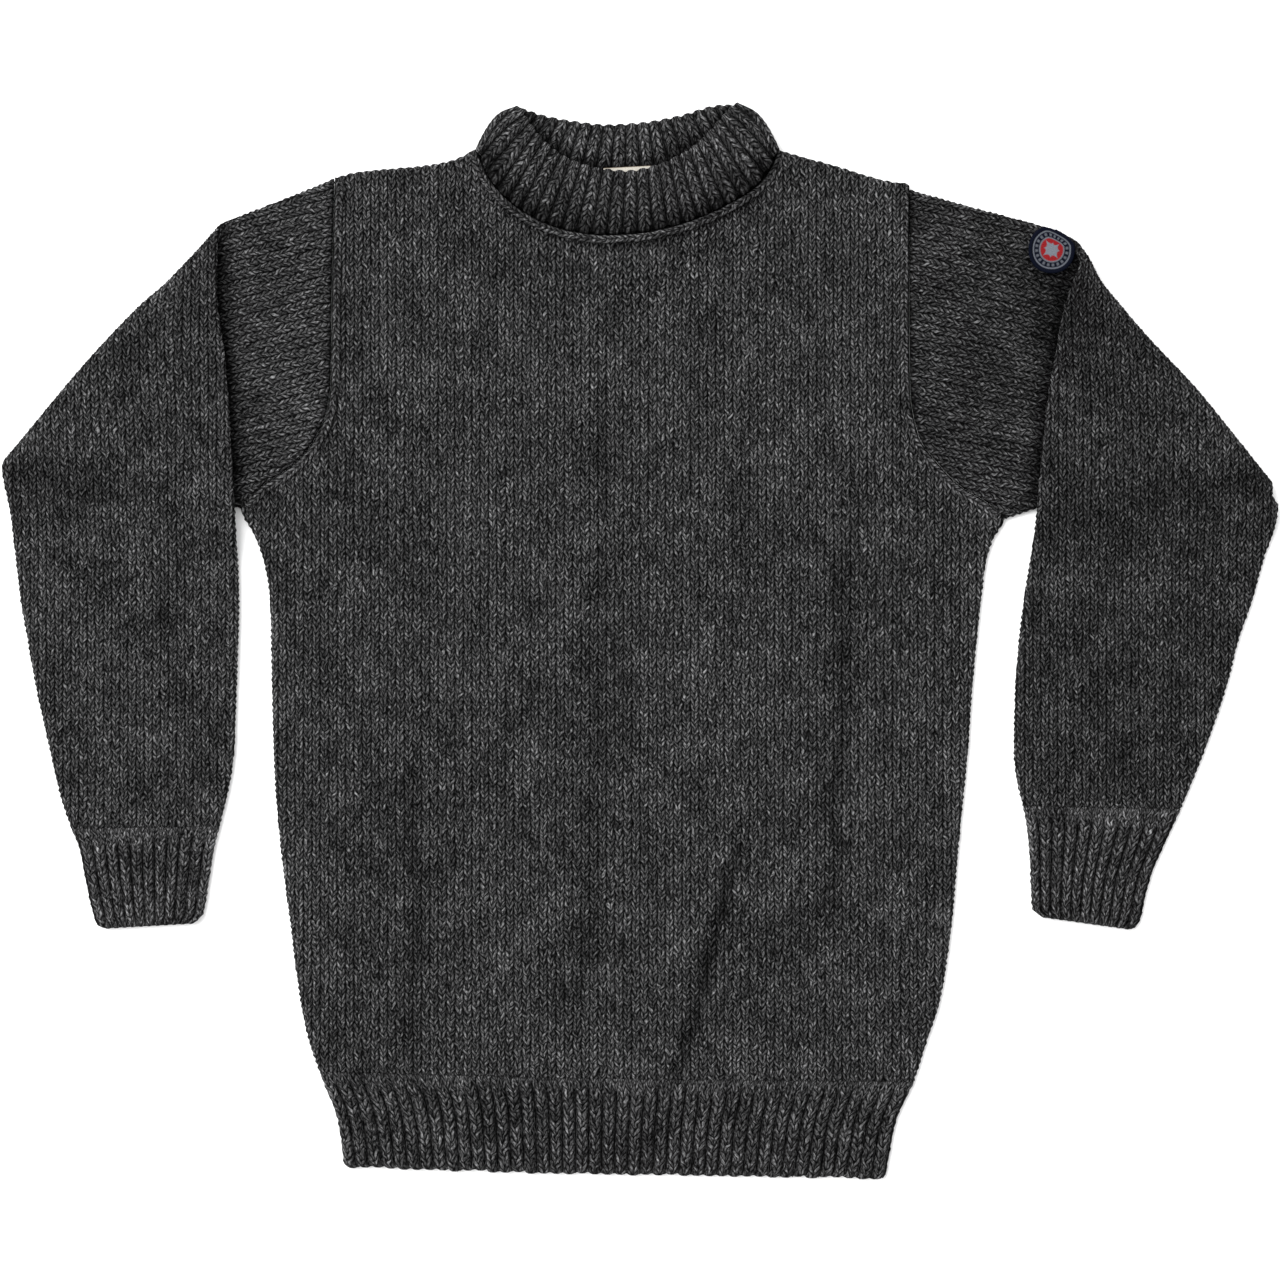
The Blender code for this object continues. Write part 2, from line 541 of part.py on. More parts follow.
def make_collar():
    """Doubled rib band as a flattened ring: the front half lies on the back half."""
    ends = (COLLAR_BASE_LEFT, COLLAR_BASE_RIGHT)
    clear = BAND / 2 + SEAM_GAP
    front_base = offset_line(NECK_FRONT, clear + 0.5, ends)
    back_base = offset_line(NECK_BACK, clear + 1.6, ends)
    back_middle = BAND / 2
    turn = (COLLAR_RISE - back_middle) / 2

    def band(at, half):
        """Middle of the band at a share along its height, for each column of that half."""
        front = half == "front"
        base = line_at(front_base if front else back_base, columns[half])
        top = spline(FRONT_TOP if front else BACK_TOP, columns[half])
        place = base + at * (top - base)
        if not front:
            return np.column_stack([place, np.full(len(place), back_middle)])
        low = ease((np.minimum(columns[half], 1 - columns[half]) - 0.10) / 0.16)
        rise = COLLAR_RISE - (COLLAR_RISE - COLLAR_LOW) * low * (1 - ease(at / 0.62))
        return np.column_stack([place, rise])

    columns = dict(
        front=np.linspace(0, 1, FRONT_RIBS * 3 + 1), back=np.linspace(0, 1, BACK_RIBS * 3 + 1)
    )
    angles = np.radians((36, 72, 108, 144))
    section = (
        # share of the height, reach beyond it, offset of the outer face as a share of half
        (0.0, 0.0, 1.0), (0.33, 0.0, 1.0), (0.66, 0.0, 1.0), (1.0, 0.0, 1.0), (1.0, 1.0, 0.0),
        (1.0, 0.0, -1.0), (0.66, 0.0, -1.0), (0.33, 0.0, -1.0), (0.0, 0.0, -1.0), (0.0, -1.0, 0.0),
    )
    loops = []
    for at, reach, side in section:
        halves = {}
        for half in ("front", "back"):
            middle = band(at, half)
            run = band(min(at + 0.02, 1), half)[:, :2] - band(min(at + 0.02, 1) - 0.1, half)[:, :2]
            run /= np.linalg.norm(run, axis=1)[:, None]
            count = FRONT_RIBS if half == "front" else BACK_RIBS
            wave = 0.5 - 0.5 * np.cos(2 * np.pi * count * columns[half])
            up = 1.0 if half == "front" else -1.0
            shown = (side > 0) == (half == "front") and side != 0
            lift = side * up * (BAND / 2) + (0.5 * wave if shown else 0)
            grow = reach * (BAND / 2 + (0.5 * wave if reach > 0 else 0) - 0.5 * (reach > 0))
            middle[:, :2] += run * np.reshape(grow, (-1, 1))
            middle[:, 2] += lift
            halves[half] = middle
        turns = []
        for corner, out in ((1.0, COLLAR_RIGHT_OUT), (0.0, COLLAR_LEFT_OUT)):
            pick = -1 if corner else 0
            centre = halves["front"][pick, :2]
            radius = turn + side * BAND / 2
            swing = angles if corner else np.pi - angles
            turns.append(np.column_stack([
                centre + np.outer(radius * np.sin(swing), out),
                back_middle + turn + radius * np.cos(swing),
            ]))
        loops.append(np.concatenate([halves["front"], turns[0], halves["back"][::-1], turns[1]]))
    ring = np.array(loops)
    index = np.arange(ring.shape[0] * ring.shape[1]).reshape(ring.shape[:2])
    index = np.hstack([index, index[:, :1]])
    index = np.vstack([index, index[:1]])
    solid("collar_band", ring.reshape(-1, 3), strip(index), "rib")


def make_label():
    """Plain woven neck label lying on the inside of the back band."""
    x = np.linspace(LABEL["left"], LABEL["right"], 9)[None, :]
    y = np.linspace(LABEL["low"], LABEL["top"], 5)[:, None] + LABEL["tilt"] * (x - x.mean())
    x = x + 0 * y
    under = np.full_like(x, LABEL["under"])
    closed_mesh(
        "neck_label", np.stack([x, y, under + LABEL["thick"]], -1), np.stack([x, y, under], -1),
        False, "label",
    )


def make_badge():
    """Round cloth patch with a raised stitched border, bent over the sleeve's top edge."""
    angle = np.linspace(0, 2 * np.pi, 41)[:-1]
    aim = np.column_stack([
        np.sign(np.cos(angle)) * np.abs(np.cos(angle)) ** 0.9 * BADGE["width"] / 2,
        np.sign(np.sin(angle)) * np.abs(np.sin(angle)) ** 0.9 * BADGE["height"] / 2,
    ])
    centre = np.array([BADGE["x"], BADGE["y"]])
    start, corner = np.array(ARM_RIGHT.armhole[-1]), np.array(ARM_RIGHT.axis_top)
    fold = np.array(ARM_RIGHT.after_top)

    def inset(points, first, second):
        """Distance of the points to the right of the line between two others."""
        run = (second - first) / np.linalg.norm(second - first)
        return (points[:, 0] - first[0]) * run[1] - (points[:, 1] - first[1]) * run[0]

    for first, second, least in ((start, corner, 0.7), (corner, fold, 1.0)):
        middle = inset(centre[None, :], first, second)[0]
        reach = middle - inset(centre + aim, first, second)
        aim *= np.minimum(1, (middle - least) / np.maximum(reach, 0.01))[:, None]
    rings = (
        # share of the size, share of the thickness
        (0.80, 0.55), (0.86, 0.95), (0.93, 1.0), (0.985, 0.7), (1.0, 0.3), (0.985, 0.0),
    )
    points = np.concatenate([centre + size * aim for size, _ in rings] + [[centre, centre]])
    lift = np.repeat([height for _, height in rings] + [0.55, 0.0], [len(angle)] * 6 + [1, 1])
    surface = HALF + HALF * rounding(inset(points, start, corner) + BADGE["bow"])
    points = np.column_stack([points, surface + BADGE["clear"] + BADGE["thick"] * lift])
    index = np.arange(len(rings) * len(angle)).reshape(len(rings), -1)
    index = np.hstack([index, index[:, :1]])
    hub, base = np.full(len(angle), len(points) - 2), np.full(len(angle), len(points) - 1)
    cover = np.column_stack([hub, hub, index[0, 1:], index[0, :-1]])
    under = np.column_stack([base, base, index[-1, :-1], index[-1, 1:]])
    solid("sleeve_badge", points, np.concatenate([strip(index), cover, under]), "badge")


def main():
    for item in list(bpy.data.objects):
        bpy.data.objects.remove(item, do_unlink=True)
    collection = bpy.data.collections.new("wool_sweater")
    bpy.context.scene.collection.children.link(collection)
    make_panels()
    make_hem()
    for arm in (ARM_LEFT, ARM_RIGHT):
        make_sleeve(arm)
        make_cuff(arm)
    make_collar()
    make_label()
    make_badge()


main()
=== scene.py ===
"""Chunky charcoal wool sweater laid flat, its sleeves folded over at the elbow.

The tables are in millimetres and the meshes in metres. +X is to the reader's right, +Y runs
from the hem to the collar and +Z rises off the surface. Every knitted piece is worked out on a
grid of stitches: u counts wales across the cloth and v counts courses along it.
"""
from collections import namedtuple

import bmesh
import bpy
import numpy as np
from bpy.props import FloatProperty, FloatVectorProperty, IntProperty, PointerProperty
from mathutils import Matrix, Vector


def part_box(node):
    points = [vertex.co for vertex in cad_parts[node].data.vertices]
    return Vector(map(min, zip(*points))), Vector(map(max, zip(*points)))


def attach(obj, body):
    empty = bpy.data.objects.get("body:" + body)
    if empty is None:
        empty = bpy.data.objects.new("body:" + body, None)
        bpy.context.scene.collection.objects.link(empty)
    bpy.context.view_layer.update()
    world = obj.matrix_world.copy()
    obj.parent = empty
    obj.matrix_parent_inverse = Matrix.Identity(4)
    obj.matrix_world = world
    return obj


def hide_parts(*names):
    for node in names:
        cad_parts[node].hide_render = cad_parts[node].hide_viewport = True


bl_info = {
    "name": "Wool Sweater",
    "version": (1, 0, 0),
    "blender": (4, 5, 0),
    "location": "3D View > Sidebar > Sweater",
    "description": "Knits a folded wool sweater stitch by stitch",
    "category": "Object",
}

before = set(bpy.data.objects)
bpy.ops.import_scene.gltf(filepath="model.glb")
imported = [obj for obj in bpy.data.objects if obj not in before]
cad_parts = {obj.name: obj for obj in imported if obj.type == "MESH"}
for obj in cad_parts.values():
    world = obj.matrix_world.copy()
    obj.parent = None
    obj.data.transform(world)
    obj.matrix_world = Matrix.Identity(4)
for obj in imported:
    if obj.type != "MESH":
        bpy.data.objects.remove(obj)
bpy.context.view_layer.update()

MM = 0.001
PHOTO_WIDTH = 1280 * 0.73   # width of the photo's frame on the sweater

# Cloth and the air between its layers.
WALL = 3.2            # thickness of the knitted cloth
LAYER_GAP = 0.4       # air between two layers of one tube
SEAM_GAP = 0.4        # air between two pieces where they are sewn together
CLOSE_GAP = 0.04      # and on each side of a row where one piece is knitted on to the other
SLAB = 2 * WALL + LAYER_GAP
HALF = SLAB / 2

# The sleeve's fold.
FOLD_HEIGHT = SLAB + 0.5   # height of the fold's axis
FOLD_ARC = np.pi * FOLD_HEIGHT   # cloth taken up by the outside of the fold
DROP_START = 13.0     # distance past the underarm edge at which the forearm starts to come down
DROP_RUN = 32.0       # and over which it comes down to the floor
BOW_REACH = 70.0      # distance inside the fold over which the push of its bow fades
PRESS = 1.7           # how far the folded forearm presses the upper sleeve down
PRESS_RUN = 15.0      # and over what distance beside the forearm
PRESS_SHADE = 0.8     # and how much light it takes away there
ARMHOLE_GAP = np.array([0.6, 0.3])   # between the sleeve and the body, aside and up

# Ribs.
RIB_STEPS = (0.0, 0.25, 0.5, 0.75, 1.0, 1.5)   # columns of one rib, in wales
RIB_LIGHT_SHARES = (0.5, 1.0, 0.88, 1.0, 0.5, 0.03)   # and the share of light painted on them
KNIT_SHARE = 0.77     # part of a rib's width that its knit wale takes
RIB_COURSE = 1.2      # height of a course of rib against one of plain knit
RIB_DELAY = 4.0       # mean distance from the seam at which a rib starts
RIB_GROW = 9.0        # and over which it forms
RIB_STAND = 0.5       # how far the hem's ribs stand over its plain cloth
RIB_FADE = 5.0        # distance from the free end over which the light evens out
CUFF_LIGHT = 1.25     # light on the cuffs against that on the body

# Edges, seams and creases.
EDGE_HIGHLIGHT = 0.24           # painted highlight: how much lighter an edge is painted
EDGE_HIGHLIGHT_REACH = 5.0      # and over what distance
EDGE_RISE = 1.0       # height of the loops along a free edge
END_ROUND = 2.6       # radius of the rounded end of a hem or cuff
HEM_CORNER = 2.5      # how far the sides draw in at the hem's corners
CUFF_CORNER = 3.2     # and at a cuff's
CREASE_CLEAR = 9.0    # distance from an edge over which a crease grows to its depth
CREASE_SWELL = 2.6    # width of a crease's swells against its trough's
CREASE_FADE = 26.0    # distance over which a crease ends
CREASE_INNER = 12.0   # and how far inside its table's ends it starts to
SEAM_DIP = 1.1        # depth of the furrow beside a sewn seam
SEAM_SHADE = 0.65     # light lost on the line of a side or armhole seam
NOT_NEAR = 99         # distance given to a seam or edge that a point has nothing to do with
CAP = 0.15            # light on the hidden plates between two layers

Edge = namedtuple("Edge", "x y")
Crease = namedtuple("Crease", "x0 y0 x1 y1 half_width depth rise shade")
Bow = namedtuple("Bow", "share push")
Arm = namedtuple(
    "Arm",
    "name side armhole top_middle low_middle axis_top axis_low bow inner outer cuff_inner"
    " cuff_outer tilt cap_drop press_more tone creases",
)
Patch = namedtuple("Patch", "x y width height clear bow")
Label = namedtuple("Label", "left right low top tilt under thick")

# Body outline from the hem's edge up the side to the underarm, then up the armhole.
BODY_LEFT = (
    Edge(-215.0, -388.0), Edge(-220.1, -350.8), Edge(-231.0, -321.6), Edge(-241.3, -292.4),
    Edge(-247.5, -263.2), Edge(-255.1, -204.8), Edge(-262.4, -146.4), Edge(-266.8, -88.0),
    Edge(-268.3, -29.6), Edge(-269.7, 28.8), Edge(-274.1, 56.6), Edge(-281.4, 77.0),
    Edge(-290.9, 96.0), Edge(-275.6, 112.1), Edge(-255.1, 125.9), Edge(-238.3, 144.2),
    Edge(-228.1, 167.5), Edge(-225.2, 189.4), Edge(-224.6, 247.8), Edge(-222.3, 337.0),
)
BODY_RIGHT = (
    Edge(178.5, -394.0), Edge(186.5, -350.8), Edge(199.7, -321.6), Edge(209.1, -292.4),
    Edge(218.6, -263.2), Edge(227.4, -204.8), Edge(232.5, -146.4), Edge(238.3, -88.0),
    Edge(242.7, -29.6), Edge(248.6, 28.8), Edge(252.2, 56.6), Edge(257.6, 74.0),
    Edge(265.4, 88.0), Edge(254.4, 98.9), Edge(233.2, 112.1), Edge(217.9, 127.4),
    Edge(202.6, 149.3), Edge(196.7, 182.1), Edge(196.0, 233.2), Edge(196.4, 331.0),
)
UNDERARM = 12         # place of the underarm in both tables

# Shoulder lines, from the armhole to the collar.
SHOULDER_LEFT = (
    Edge(-222.3, 337.0), Edge(-203.3, 341.3), Edge(-156.6, 345.7), Edge(-137.6, 349.3),
    Edge(-119.8, 357.4),
)
SHOULDER_RIGHT = (
    Edge(101.4, 356.8), Edge(123.0, 350.8), Edge(142.0, 345.7), Edge(155.9, 341.3),
    Edge(170.5, 336.9), Edge(196.4, 331.0),
)
# Neckline seams of the front and of the back, from left to right.
NECK_FRONT = (
    Edge(-119.8, 357.4), Edge(-111.6, 337.6), Edge(-101.1, 324.5), Edge(-88.0, 313.5),
    Edge(-71.2, 304.0), Edge(-48.5, 297.0), Edge(-26.6, 294.6), Edge(-4.0, 295.6),
    Edge(22.3, 300.4), Edge(42.7, 307.0), Edge(64.6, 317.2), Edge(83.6, 329.0),
    Edge(94.6, 341.3), Edge(101.4, 356.8),
)
NECK_BACK = (
    Edge(-119.8, 357.4), Edge(-101.0, 338.0), Edge(-66.0, 328.5), Edge(-9.0, 323.5),
    Edge(48.0, 328.5), Edge(82.0, 338.0), Edge(101.4, 356.8),
)
HEM_SEAM = (Edge(-240.0, -314.3), Edge(-9.0, -320.0), Edge(215.0, -322.3))
HEM_EDGE = (Edge(-230.0, -383.6), Edge(-60.0, -388.6), Edge(195.0, -392.6))
HEM_TOP = (-228.0, 427.0)    # left end and width of the hem at its seam
HEM_LOW = (-215.0, 394.0)    # and at its edge
PANEL_REACH = ((-293, 268), (-356, 324))   # rectangle round a panel: x, and y from the top down

# Soft creases: each is a trough between two low swells, and little light reaches its bottom.
FRONT_CREASES = (
    Crease(72.0, -158.0, 30.0, -308.0, 6.5, 0.9, 4.0, 0.62),
    Crease(152.0, 60.0, 142.0, -182.0, 7.5, 0.7, 2.12, 0.42),
    Crease(-162.0, -84.0, -164.0, -300.0, 8.5, 0.6, 1.88, 0.38),
    Crease(-25.0, 190.0, -30.0, -40.0, 7.0, 0.4, 1.0, 0.21),
    Crease(-30.0, -60.0, -43.0, -300.0, 9.0, 0.4, 1.12, 0.24),
    Crease(112.0, -196.0, 106.0, -268.0, 17.0, 0.5, 1.12, 0.21),
    Crease(66.0, 320.0, 112.0, 298.0, 10.0, 0.4, 0.62, 0.26),
    Crease(-236.0, 92.0, -160.0, 40.0, 13.0, 0.5, 1.25, 0.16),
    Crease(214.0, 84.0, 150.0, 30.0, 13.0, 0.5, 1.25, 0.19),
    Crease(-208.0, -230.0, -190.0, -330.0, 10.0, 0.4, 1.0, 0.13),
)
# The back lies on the floor, so its creases only go in.
BACK_CREASES = (
    Crease(-90.0, 120.0, -70.0, -140.0, 9.0, 0.9, 0.0, 0.38),
    Crease(60.0, 210.0, 96.0, 20.0, 8.0, 0.8, 0.0, 0.32),
    Crease(150.0, -90.0, 120.0, -290.0, 10.0, 0.9, 0.0, 0.38),
    Crease(-180.0, -150.0, -150.0, -300.0, 8.0, 0.7, 0.0, 0.29),
    Crease(-10.0, -60.0, 14.0, -230.0, 12.0, 0.6, 0.0, 0.22),
)

ARM_LEFT = Arm(
    name="left", side=-1, tilt=15.0, cap_drop=1.5, press_more=2.0, tone=1.0,
    creases=(
        Crease(-470.0, 124.0, -380.0, 104.0, 12.0, 0.8, 2.25, 0.38),
        Crease(-410.0, 186.0, -352.0, 214.0, 10.0, 0.6, 1.75, 0.22),
        Crease(-346.0, 30.0, -322.0, -92.0, 9.0, 0.6, 1.88, 0.19),
        Crease(-420.0, -20.0, -392.0, -110.0, 10.0, 0.5, 1.5, 0.13),
    ),
    armhole=BODY_LEFT[UNDERARM:],
    top_middle=Edge(-252.0, 323.2), low_middle=Edge(-345.0, 106.0),
    axis_top=Edge(-290.9, 307.8), axis_low=Edge(-456.1, 129.1),
    bow=(Bow(0, 1.5), Bow(0.15, 0.4), Bow(0.28, 0.8), Bow(0.42, 4.0), Bow(0.56, 4.6), Bow(1, 0.0)),
    inner=(
        Edge(-306.6, 290.8), Edge(-307.7, 255.9), Edge(-301.9, 206.2), Edge(-298.2, 157.3),
        Edge(-295.3, 106.9), Edge(-293.1, 58.0), Edge(-292.4, 28.8), Edge(-294.6, -44.2),
        Edge(-296.7, -88.0), Edge(-301.9, -117.2), Edge(-306.6, -135.8),
    ),
    outer=(
        Edge(-463.8, 120.8), Edge(-460.3, 101.8), Edge(-456.6, 72.6), Edge(-451.5, 28.8),
        Edge(-446.4, -0.4), Edge(-441.3, -29.6), Edge(-431.8, -73.4), Edge(-421.6, -117.2),
        Edge(-414.6, -137.4),
    ),
    cuff_inner=(
        Edge(-306.6, -135.9), Edge(-310.4, -151.0), Edge(-314.3, -175.6), Edge(-318.8, -201.0),
        Edge(-321.4, -206.6),
    ),
    cuff_outer=(
        Edge(-414.6, -137.5), Edge(-409.2, -150.0), Edge(-404.1, -175.6), Edge(-397.4, -204.0),
        Edge(-395.0, -210.4),
    ),
)
ARM_RIGHT = Arm(
    # Painted shade: the right sleeve's colour is darkened to 0.79, as if less light fell on it.
    name="right", side=1, tilt=12.0, cap_drop=3.0, press_more=40.0, tone=0.79,
    creases=(
        Crease(296.0, 86.0, 466.0, 118.0, 14.0, 0.8, 2.25, 0.32),
        Crease(312.0, 268.0, 322.0, 226.0, 20.0, 0.8, 0.75, 0.42),
        Crease(318.0, 196.0, 372.0, 170.0, 12.0, 0.6, 1.75, 0.26),
        Crease(330.0, 20.0, 346.0, -100.0, 10.0, 0.6, 1.88, 0.19),
        Crease(404.0, 10.0, 382.0, -90.0, 9.0, 0.5, 1.5, 0.16),
    ),
    armhole=BODY_RIGHT[UNDERARM:],
    top_middle=Edge(246.0, 313.8), low_middle=Edge(300.0, 98.5),
    axis_top=Edge(304.1, 297.4), axis_low=Edge(452.5, 113.9),
    bow=(
        Bow(0, 1.6), Bow(0.12, -0.8), Bow(0.22, -4.8), Bow(0.38, -4.2), Bow(0.7, 0.4), Bow(1, 0.0),
    ),
    inner=(
        Edge(321.5, 275.9), Edge(313.0, 252.9), Edge(302.2, 207.7), Edge(295.3, 166.1),
        Edge(290.2, 115.7), Edge(288.0, 87.2), Edge(282.1, 43.4), Edge(276.3, -0.4),
        Edge(273.4, -44.2), Edge(272.7, -80.7), Edge(274.8, -102.6), Edge(279.4, -121.0),
    ),
    outer=(
        Edge(459.8, 104.9), Edge(464.2, 97.0), Edge(463.4, 86.0), Edge(454.4, 58.0),
        Edge(446.4, 28.8), Edge(436.2, -0.4), Edge(428.9, -29.6), Edge(414.3, -73.4),
        Edge(396.8, -117.2), Edge(394.2, -123.0),
    ),
    cuff_inner=(
        Edge(279.4, -121.1), Edge(282.1, -136.0), Edge(284.3, -161.0), Edge(285.8, -194.0),
        Edge(289.6, -202.0),
    ),
    cuff_outer=(
        Edge(394.2, -123.1), Edge(384.6, -144.0), Edge(371.2, -175.6), Edge(364.0, -205.0),
        Edge(361.2, -211.2),
    ),
)
ARMS = (ARM_LEFT, ARM_RIGHT)

BAND = 5.6            # thickness of the doubled collar band
FRONT_TOP = (
    Edge(-90.5, 387.8), Edge(-79.8, 372.4), Edge(-66.9, 357.6), Edge(-49.6, 346.8),
    Edge(-28.4, 340.8), Edge(-9.1, 339.2), Edge(10.4, 342.9), Edge(30.4, 351.3),
    Edge(45.9, 362.4), Edge(58.4, 376.0), Edge(71.9, 390.2),
)
BACK_TOP = (
    Edge(-90.5, 387.8), Edge(-72.2, 380.8), Edge(-50.3, 376.4), Edge(-24.5, 373.5),
    Edge(0.0, 374.9), Edge(29.2, 380.1), Edge(52.4, 387.0), Edge(71.9, 390.2),
)
COLLAR_LEFT_OUT = Edge(-0.766, 0.642)
COLLAR_RIGHT_OUT = Edge(0.804, 0.594)
COLLAR_BASE_LEFT = Edge(-114.6, 354.6)
COLLAR_BASE_RIGHT = Edge(96.6, 354.6)
COLLAR_RISE = 10.0    # height of the front band's middle where it lies on the back band
COLLAR_LOW = 6.4      # and at its seam, where it lies on the back panel

COLLAR_HEIGHT = 44.0  # rough height of the band
COLLAR_COURSES = 8.5  # courses in it

BADGE = Patch(x=299.8, y=284.4, width=33.6, height=34.6, clear=0.4, bow=1.9)
BADGE_BEND = 11.5     # distance from the badge's middle at which it bends over the sleeve's edge
BADGE_OVER = (0.50, 0.866)   # and the way in which it does
BADGE_BORDER = 0.84   # share of the radius at which the whipped border starts
LABEL = Label(left=-26.6, right=7.7, low=327.0, top=344.6, tilt=0.053, under=6.45, thick=0.5)
# Colour of the shadow painted along the label's upper edge.
LABEL_EDGE_SHADOW = (0.10, 0.065, 0.035)


def measure(name, description, millimetres):
    """A length that the user may change."""
    return FloatProperty(
        name=name, description=description, default=millimetres * MM, unit="LENGTH",
    )


def number(name, description, ribs):
    """A number of ribs that the user may change."""
    return IntProperty(name=name, description=description, default=ribs)


def swatch(name, description, default):
    """A colour that the user may change."""
    return FloatVectorProperty(
        name=name, description=description, default=default, subtype="COLOR", min=0, max=1,
    )


class SweaterYarn(bpy.types.PropertyGroup):
    """Sizes of the stitches and numbers of the ribs."""
    wale: measure("Body wale", "Width of one stitch of the body", 6.13)
    course: measure("Body course", "Height of one row of stitches of the body", 4.49)
    arm_wale: measure("Forearm wale", "Width of one stitch of the forearm", 5.94)
    arm_course: measure("Forearm course", "Height of one row of stitches of the forearm", 4.31)
    upper_wale: measure("Upper sleeve wale", "Width of one stitch of the upper sleeve", 6.6)
    lean: FloatProperty(
        name="Lean", description="Rise of a leg of a stitch across half a wale, in courses",
        default=1.18,
    )
    relief: measure("Stitch relief", "Depth of the groove between two wales", 1.35)
    rib_relief: measure("Rib relief", "Depth of the groove between two ribs", 2.3)
    hem_ribs: number("Hem ribs", "Ribs across the front or the back of the hem", 42)
    cuff_ribs: number("Cuff ribs", "Ribs across one face of a cuff", 11)
    collar_front_ribs: number("Front collar ribs", "Ribs across the front of the collar", 24)
    collar_back_ribs: number("Back collar ribs", "Ribs across the back of the collar", 20)


class SweaterColours(bpy.types.PropertyGroup):
    """Colours of the yarn, the trims and the floor."""
    dark: swatch(
        "Dark fibres", "Colour of the darkest fibres in the heather yarn", (0.0034, 0.0034, 0.0036)
    )
    middle: swatch(
        "Grey fibres", "Colour of most fibres in the heather yarn", (0.0465, 0.0465, 0.0472)
    )
    light: swatch(
        "Light fibres", "Colour of the palest fibres in the heather yarn", (0.242, 0.242, 0.246)
    )
    label: swatch("Label", "Colour of the woven neck label", (0.56, 0.53, 0.47))
    navy: swatch(
        "Badge ground", "Colour of the badge's ground and border", (0.0020, 0.0030, 0.0080)
    )
    pale: swatch(
        "Badge thread", "Colour of the pale stitching on the badge", (0.098, 0.106, 0.124)
    )
    red: swatch(
        "Badge centre", "Colour of the red stitching on the badge", (0.185, 0.010, 0.012)
    )
    floor: swatch("Floor", "Colour of the floor", (0.93, 0.93, 0.93))


def smooth_interp(at, knots, values):
    """Monotone cubic through the knots: the slope at a knot is the harmonic mean of its sides."""
    at, knots, values = np.asarray(at, float), np.asarray(knots, float), np.asarray(values, float)
    flat = values.ndim == 1
    values = values[:, None] if flat else values
    step = np.diff(knots)[:, None]
    slope = np.diff(values, axis=0) / step
    tangent = np.zeros_like(values)
    same = slope[1:] * slope[:-1] > 0
    mean = 2 * slope[1:] * slope[:-1] / np.where(same, slope[1:] + slope[:-1], 1)
    tangent[1:-1] = np.where(same, mean, 0)
    tangent[0], tangent[-1] = slope[0], slope[-1]
    cell = np.clip(np.searchsorted(knots, at, side="right") - 1, 0, len(step) - 1)
    width = step[cell]
    part = np.clip((at - knots[cell])[..., None] / width, 0, 1)
    found = (
        (1 + 2 * part) * (1 - part) ** 2 * values[cell]
        + part * (1 - part) ** 2 * width * tangent[cell]
        + part ** 2 * (3 - 2 * part) * values[cell + 1]
        + part ** 2 * (part - 1) * width * tangent[cell + 1]
    )
    return found[..., 0] if flat else found


def spline(edges, at):
    """Smooth curve through edge points at fractions of its length."""
    points = np.array(edges, float)
    knots = np.concatenate([[0], np.cumsum(np.linalg.norm(np.diff(points, axis=0), axis=1))])
    return smooth_interp(np.asarray(at, float) * knots[-1], knots, points)


def x_at(edges, y):
    """x of the smooth line through the edge points at a height y, held at its ends."""
    rows = np.array(edges, float)
    return smooth_interp(np.clip(y, rows[0, 1], rows[-1, 1]), rows[:, 1], rows[:, 0])


def y_at(edges, x):
    """y of the smooth line through the edge points at a place x, held at its ends."""
    rows = np.array(edges, float)
    return smooth_interp(np.clip(x, rows[0, 0], rows[-1, 0]), rows[:, 0], rows[:, 1])


def ease(part):
    """Rises from 0 to 1 as 3p^2 - 2p^3."""
    part = np.clip(part, 0, 1)
    return part * part * (3 - 2 * part)


def rounding(inset, radius=HALF):
    """Quarter circle: the share of its height that a rounded edge has at a distance inside."""
    return np.sqrt(np.clip(1 - (1 - np.clip(inset / radius, 0, 1)) ** 2, 0, 1))


def painted_edge_highlight(inset):
    """Painted highlight near an edge: 1 plus its share there, and 1 from its reach inwards."""
    return 1 + EDGE_HIGHLIGHT * (1 - ease(inset / EDGE_HIGHLIGHT_REACH))


def yarn():
    """The yarn's sizes, as the scene holds them."""
    return bpy.context.scene.sweater_yarn


def colours():
    """The colours, as the scene holds them."""
    return bpy.context.scene.sweater_colours


def leg_share(u):
    """0 on the middle line of a wale and 1 on the groove between two wales."""
    return np.abs(2 * (u - np.floor(u)) - 1)


def per_leg(u, strand):
    """A fixed random number from -1 to 1 for each leg of a stitch."""
    table = np.random.default_rng(11).uniform(-1, 1, (251, 257))
    return table[np.floor(2 * u).astype(int) % 251, np.floor(strand).astype(int) % 257]


def stitch_height(u, v):
    """Height of the knit from 0 to 1: each leg is a strand, highest halfway along and across.

    Along the leg the height runs from 0.4 at the middle of the wale up to 1 and down to 0 at the
    groove. Across the strand it is 0.45 + 0.55 sin^2 of the leaning course number. Some legs lie
    a little lower than others.
    """
    m = leg_share(u)
    strand = v + yarn().lean * m
    along = np.interp(m, (0, 0.25, 0.5, 0.75, 1), (0.4, 0.85, 1.0, 0.8, 0.0))
    across = 0.45 + 0.55 * np.sin(np.pi * strand) ** 2
    return along * across * (0.87 + 0.13 * per_leg(u, strand + 0.01))


def rib_columns(ribs):
    """Wale numbers of a rib's columns: four steps across its knit wale, two across its purl."""
    return np.append((2 * np.arange(ribs)[:, None] + np.array(RIB_STEPS)).ravel(), 2 * ribs)


def rib_share(u, ribs, knit=KNIT_SHARE):
    """Share of the width at a wale number: knit wales are wide and purl wales are hidden."""
    part = u % 2
    wide = np.where(part < 1, knit * part, knit + (1 - knit) * (part - 1))
    return (np.floor(u / 2) + wide) / ribs


def rib_light_share(u, deep):
    """Painted light on a rib's columns: 1 - deep (1 - share), least in the hidden purl wale."""
    return 1 - deep * (1 - np.interp(u % 2, RIB_STEPS + (2.0,), RIB_LIGHT_SHARES + RIB_LIGHT_SHARES[:1]))


